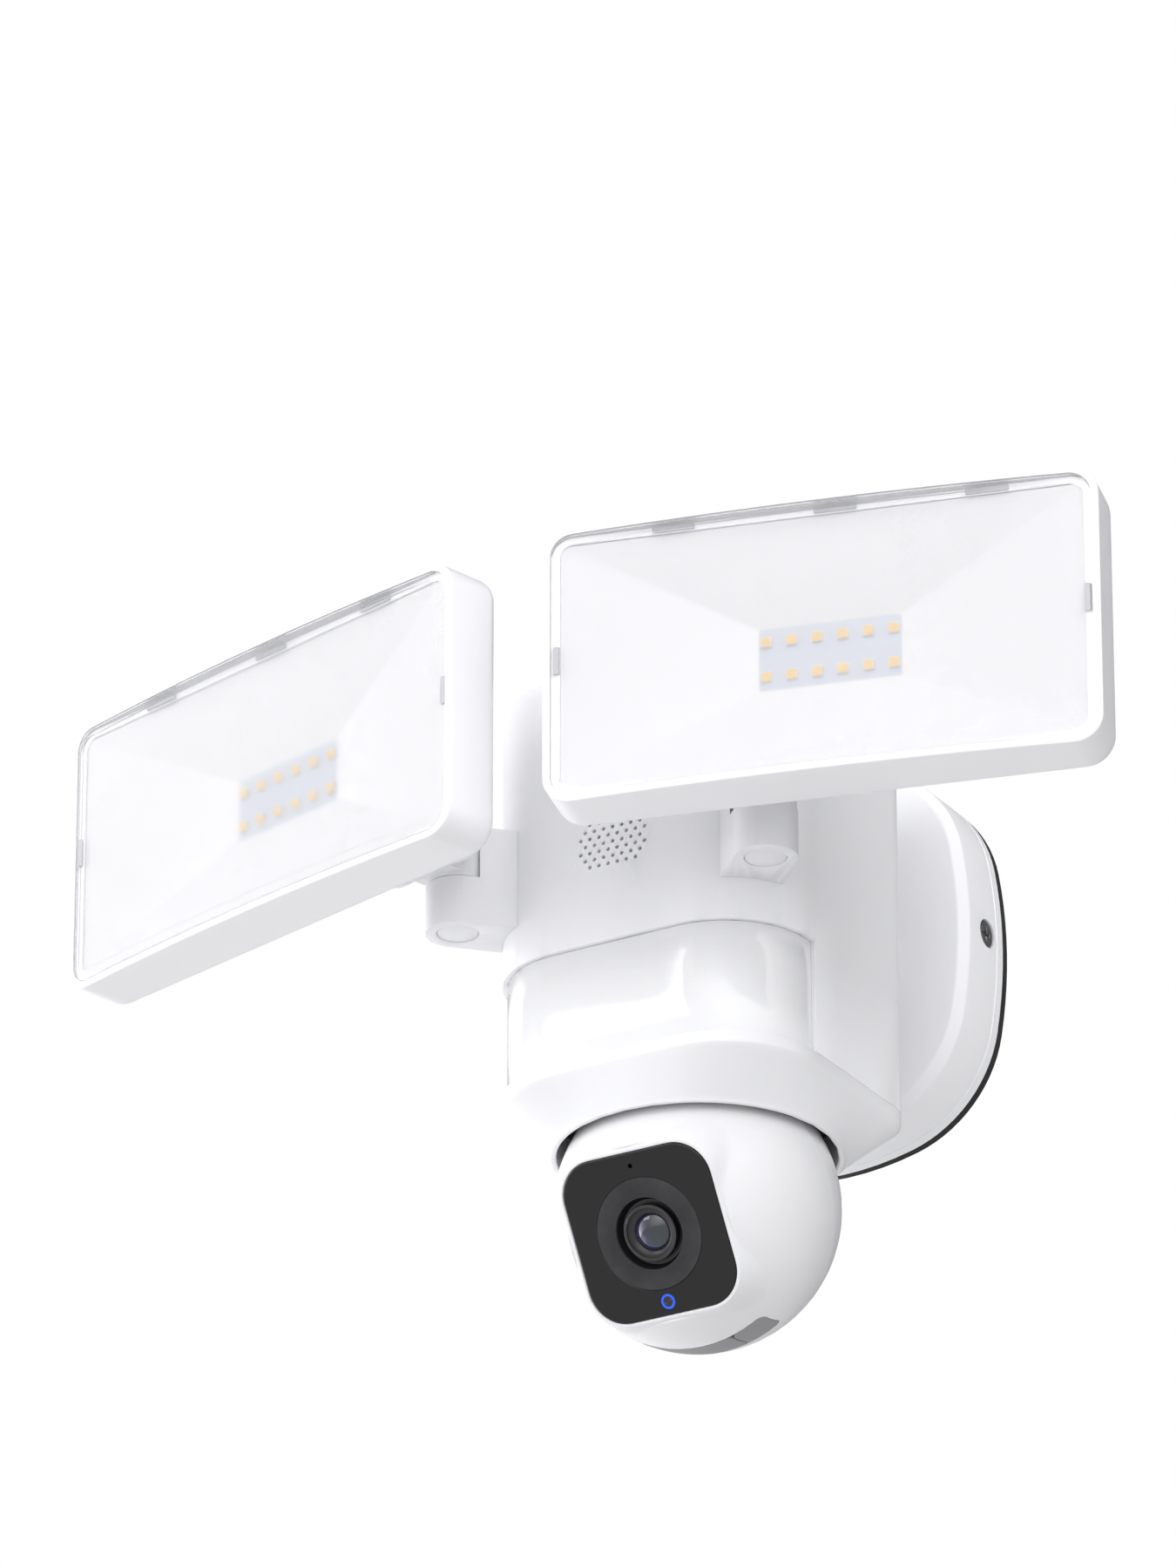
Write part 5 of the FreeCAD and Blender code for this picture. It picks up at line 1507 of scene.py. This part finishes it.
    def build_face(self) -> bpy.types.Object:
        """The black face plate with the lens's hole and two small ones.

        Returns:
            The face plate.
        """
        front, back = -self.face_front, -self.face_front + self.face_gauge
        plain = self.face_outline(0.0)
        hole = drawn_to_circle(plain, self.bezel + 0.05)
        rings = [facing_front(drawn_to_circle(plain, self.bezel + 0.2), front),
                 facing_front(self.face_outline(-0.8), front),
                 facing_front(self.face_outline(-0.3), front + 0.05),
                 facing_front(self.face_outline(-0.06), front + 0.22),
                 facing_front(plain, front + 0.5), facing_front(plain, back),
                 facing_front(hole, back), facing_front(hole, front + 0.15)]
        plate = loft("face", rings, self.place, closed=True)
        tools = []
        for radius, up in ((0.7, self.detail_up), (2.45, -self.detail_up)):
            tools.append(peg(radius, Vector((0, front - 2, up)), Vector((0, back + 2, up)),
                             self.place, 40))
        carve(plate, tools)
        return plate

    def build_bezel(self) -> bpy.types.Object:
        """The flat disc round the lens.

        Returns:
            The disc.
        """
        front, inner = -self.face_front, self.well - 0.9
        profile = [(front + 0.02, self.bezel - 0.12), (front + 0.14, self.bezel),
                   (front + 0.9, self.bezel), (front + 0.9, inner), (front + 0.3, inner),
                   (front + 0.06, inner + 0.08), (front + 0.04, inner + 0.4)]
        return spin("bezel", profile, self.place, 96)

    def build_well(self) -> bpy.types.Object:
        """The black funnel between the disc and the barrel.

        Returns:
            The funnel.
        """
        front, well = -self.face_front, self.well
        profile = [(front + 0.95, self.bezel - 1.6), (front + 4.6, self.bezel - 1.6),
                   (front + 4.6, well - 2.0), (front + self.well_depth, well - 2.0),
                   (front + 2.2, well - 1.2), (front + 0.95, well - 0.95)]
        return spin("well", profile, self.place, 96)

    def build_barrel(self) -> bpy.types.Object:
        """The lens barrel with its stepped front rings.

        Returns:
            The barrel.
        """
        well = -self.face_front + self.well_depth
        rim = self.barrel
        profile = [(well + 9.8, 0.5), (well + 9.8, rim + 1.2), (well, rim + 1.2), (well, rim),
                   (well - 2.25, rim), (well - 2.5, rim - 0.12), (well - 2.6, rim - 0.35),
                   (well - 2.6, rim - 0.85), (well - 2.5, rim - 1.02), (well - 2.0, rim - 1.1),
                   (well - 1.95, rim - 1.3), (well - 1.9, rim - 1.7), (well - 1.8, rim - 2.0),
                   (well - 1.2, self.glass + 0.35), (well - 0.9, self.glass + 0.1),
                   (well + 0.4, self.glass + 0.1), (well + 1.5, 0.5)]
        return spin("barrel", profile, self.place, 96, closed=False)

    def build_glass(self) -> bpy.types.Object:
        """The front lens element: a dome with a flat back.

        Returns:
            The glass.
        """
        dome = self.glass * 1.6
        middle = -self.face_front + self.well_depth - 1 + self.glass * 1.27
        profile: list[Point] = []
        reach = math.asin(self.glass / dome)
        for step in range(1, 13):
            angle = reach * step / 12
            profile.append((middle - dome * math.cos(angle), dome * math.sin(angle)))
        back = -self.face_front + self.well_depth + 0.2
        profile += [(back, self.glass), (back, 0.05)]
        return spin("glass", profile, self.place, 64, closed=False)

    def build_pupil(self) -> bpy.types.Object:
        """The dark stop behind the front glass, which gives the lens its depth.

        Returns:
            The stop.
        """
        back = -self.face_front + self.well_depth + 0.26
        profile = [(back, 0.05), (back, 1.5), (back + 0.1, 1.9), (back + 0.14, 5.3),
                   (back + 0.2, 5.3), (back + 0.2, 0.05)]
        return spin("pupil", profile, self.place, 48, closed=False)

    def build_ring(self) -> bpy.types.Object:
        """The thin lit ring under the lens.

        Returns:
            The ring.
        """
        front = -self.face_front
        profile = [(front + 0.1, 1.62), (front + 0.05, 1.72), (front + 0.05, 2.1),
                   (front + 0.1, 2.22), (front + 0.5, 2.22), (front + 0.5, 1.62)]
        return spin("ring", profile, self.lowered(), 48)

    def build_ring_seat(self) -> bpy.types.Object:
        """The dark plug that the lit ring is let into.

        Returns:
            The plug.
        """
        front = -self.face_front
        profile = [(front + 0.12, 0.02), (front + 0.12, 1.58), (front + 0.55, 1.58),
                   (front + 0.55, 2.24), (front + 0.14, 2.26), (front + 0.14, 2.42),
                   (front + 2.2, 2.42), (front + 2.2, 0.02)]
        return spin("ring_seat", profile, self.lowered(), 48, closed=False)

    def lowered(self) -> Matrix:
        """The ball's frame moved down to the lit ring."""
        return self.place @ Matrix.Translation((0, 0, -self.detail_up))

    def build(self) -> None:
        """Build and dress the ball."""
        pieces = (
            # both ball shells take the darker white, which is painted shade
            (self.build_front(), "ball_front_piece", "ball_shell_painted_shade", "white_shell",
             "ball_front_shell"),
            (self.build_rear(), "ball_rear_piece", "ball_shell_painted_shade", "white_shell", "ball_rear_shell"),
            (self.build_face(), "face_piece", "black_gloss", "black_gloss", "face_plate"),
            (self.build_bezel(), "bezel_piece", "black_bezel", "black_gloss", "lens_bezel"),
            (self.build_well(), "well_piece", "black_matte", "black_gloss", None),
            (self.build_barrel(), "barrel_piece", "black_satin", "black_satin", "lens_barrel"),
            (self.build_glass(), "glass_piece", "coated_glass", "lens_glass", "lens_glass"),
            (self.build_pupil(), "pupil_piece", "black_satin", "black_satin", None),
            (self.build_ring(), "ring_piece", "status_blue", "blue_light", "status_ring"),
            (self.build_ring_seat(), "ring_seat_piece", "black_satin", "black_gloss", None))
        for obj, name, finish, slot, node in pieces:
            nodes = (node,) if node else ()
            finish_piece(obj, name, "ball", MATERIALS[finish], slot, *nodes)
        for node in ("port_flap", "sync_button"):
            refine_and_dress(node, 0.25, "grey_rubber", "grey_rubber", 3)
        refine_and_dress("sensor_board", 0.2, "circuit_board", "circuit_board")
        refine_and_dress("pan_turret", 0.5, "dark_plastic", "dark_plastic")
        dress_node("microphone", "black_mesh")
        dress_node("tilt_motor", "motor_can")
        for node in ("tilt_bushes", "pan_shaft", "tilt_shaft"):
            dress_node(node, "zinc_steel")


# ------------------------------------------------------------------ studio
@dataclass
class Studio:
    """The camera, the soft lights and the pale floor."""

    position: tuple[float, float, float] = (1.4273, -2.5745, -1.3118)
    azimuth: float = 30.56
    elevation: float = -25.27
    lens: float = 239.93
    floor_z: float = -1.75
    ambient: float = 0.03
    lobes: tuple[tuple[tuple[float, float, float], float], ...] = (
        ((-1.0, 0.0, 0.0), 3.5), ((0.0, -1.0, 0.0), 1.15), ((-1.0, 1.0, -1.0), 1.5),
        ((1.0, -1.0, 1.0), 2.6), ((1.0, 0.0, 0.3), 0.35))
    lobe_power: float = 4.0
    light_tint: tuple[float, float, float, float] = (0.985, 0.985, 1.0, 1.0)
    panels: tuple[tuple[str, tuple[float, float, float], float, float], ...] = (
        ("window_sheen", (-1.25, -2.0, 1.1), 1.1, 9.0), ("left", (-1.5, -0.2, -0.6), 1.0, 1.7),
        ("rear", (-0.9, 0.9, -0.9), 1.0, 1.1), ("right", (1.5, -0.3, -0.5), 1.0, 1.0))
    aim: tuple[float, float, float] = (0.0, -0.1, 0.0)

    def add_camera(self) -> None:
        """A long lens from below and to the right of the object."""
        data = bpy.data.cameras.new("camera")
        data.lens = self.lens
        data.sensor_width = 36.0
        data.clip_end = 50.0
        camera = bpy.data.objects.new("camera", data)
        turn, rise = math.radians(self.azimuth), math.radians(self.elevation)
        back = Vector((math.cos(rise) * math.sin(turn), -math.cos(rise) * math.cos(turn),
                       math.sin(rise)))
        camera.rotation_euler = back.to_track_quat("Z", "Y").to_euler()
        camera.location = self.position
        bpy.context.scene.collection.objects.link(camera)
        bpy.context.scene.camera = camera

    def add_panel_light(self, name: str, position: tuple[float, float, float], size: float,
                        power: float) -> None:
        """A square soft light that faces the object.

        Args:
            name: the light's name.
            position: its place in metres.
            size: its side in metres.
            power: its power in watts.
        """
        data = bpy.data.lights.new(name, "AREA")
        data.shape = "SQUARE"
        data.size = size
        data.energy = power
        light = bpy.data.objects.new(name, data)
        light.location = position
        aim = Vector(self.aim) - Vector(position)
        light.rotation_euler = aim.to_track_quat("-Z", "Y").to_euler()
        light.visible_camera = False
        bpy.context.scene.collection.objects.link(light)

    def add_world(self) -> None:
        """A white surround to the eye; as a light it glows from a few broad directions."""
        world = bpy.data.worlds.new("studio")
        world.use_nodes = True
        tree = world.node_tree
        tree.nodes.clear()
        place = tree.nodes.new("ShaderNodeTexCoord")
        total: bpy.types.NodeSocket | float = self.ambient
        for direction, strength in self.lobes:
            facing = tree.nodes.new("ShaderNodeVectorMath")
            facing.operation = "DOT_PRODUCT"
            tree.links.new(place.outputs["Generated"], facing.inputs[0])
            facing.inputs[1].default_value = Vector(direction).normalized()
            lit = add_math(tree, "MAXIMUM", facing.outputs["Value"], 0.0)
            lobe = add_math(tree, "MULTIPLY",
                            add_math(tree, "POWER", lit, self.lobe_power), strength)
            total = add_math(tree, "ADD", lobe, total)
        lighting = tree.nodes.new("ShaderNodeBackground")
        lighting.inputs["Color"].default_value = self.light_tint
        tree.links.new(total, lighting.inputs["Strength"])
        seen = tree.nodes.new("ShaderNodeBackground")
        seen.inputs["Color"].default_value = (1.0, 1.0, 1.0, 1.0)
        path = tree.nodes.new("ShaderNodeLightPath")
        mix = tree.nodes.new("ShaderNodeMixShader")
        out = tree.nodes.new("ShaderNodeOutputWorld")
        tree.links.new(path.outputs["Is Camera Ray"], mix.inputs["Fac"])
        tree.links.new(lighting.outputs["Background"], mix.inputs[1])
        tree.links.new(seen.outputs["Background"], mix.inputs[2])
        tree.links.new(mix.outputs["Shader"], out.inputs["Surface"])
        bpy.context.scene.world = world

    def add_floor(self) -> None:
        """A plain pale floor well below the object."""
        reach = 6000.0
        floor = loft("floor", [lying([(-reach, -reach), (reach, -reach), (reach, reach),
                                      (-reach, reach)], self.floor_z / MM + drop)
                               for drop in (0.0, -10.0)], caps=True)
        finish = Finish("floor_paint", (0.8, 0.8, 0.8), (0.77, 0.77, 0.77), roughness=0.6)
        floor.data.materials.append(finish.build())

    def build(self) -> None:
        """Set the studio up."""
        bpy.context.scene.view_settings.view_transform = "Standard"
        self.add_camera()
        self.add_world()
        self.add_floor()
        for name, position, size, power in self.panels:
            self.add_panel_light(name, position, size, power)


def write_sizes() -> None:
    def plain(box: Iterable[Iterable[float]]) -> list[list[float]]:
        """A box's corners as plain lists."""
        return [[float(value) for value in corner] for corner in box]


def main() -> None:
    """Build every sub-assembly in order."""
    logging.basicConfig(level=logging.INFO, format="%(message)s")
    Studio().build()
    BaseUnit().build()
    Column().build()
    for side in Side:
        LightArm(side).build()
        Floodlight(side).build()
    CameraBall().build()
    write_sizes()


if __name__ == "__main__":
    main()
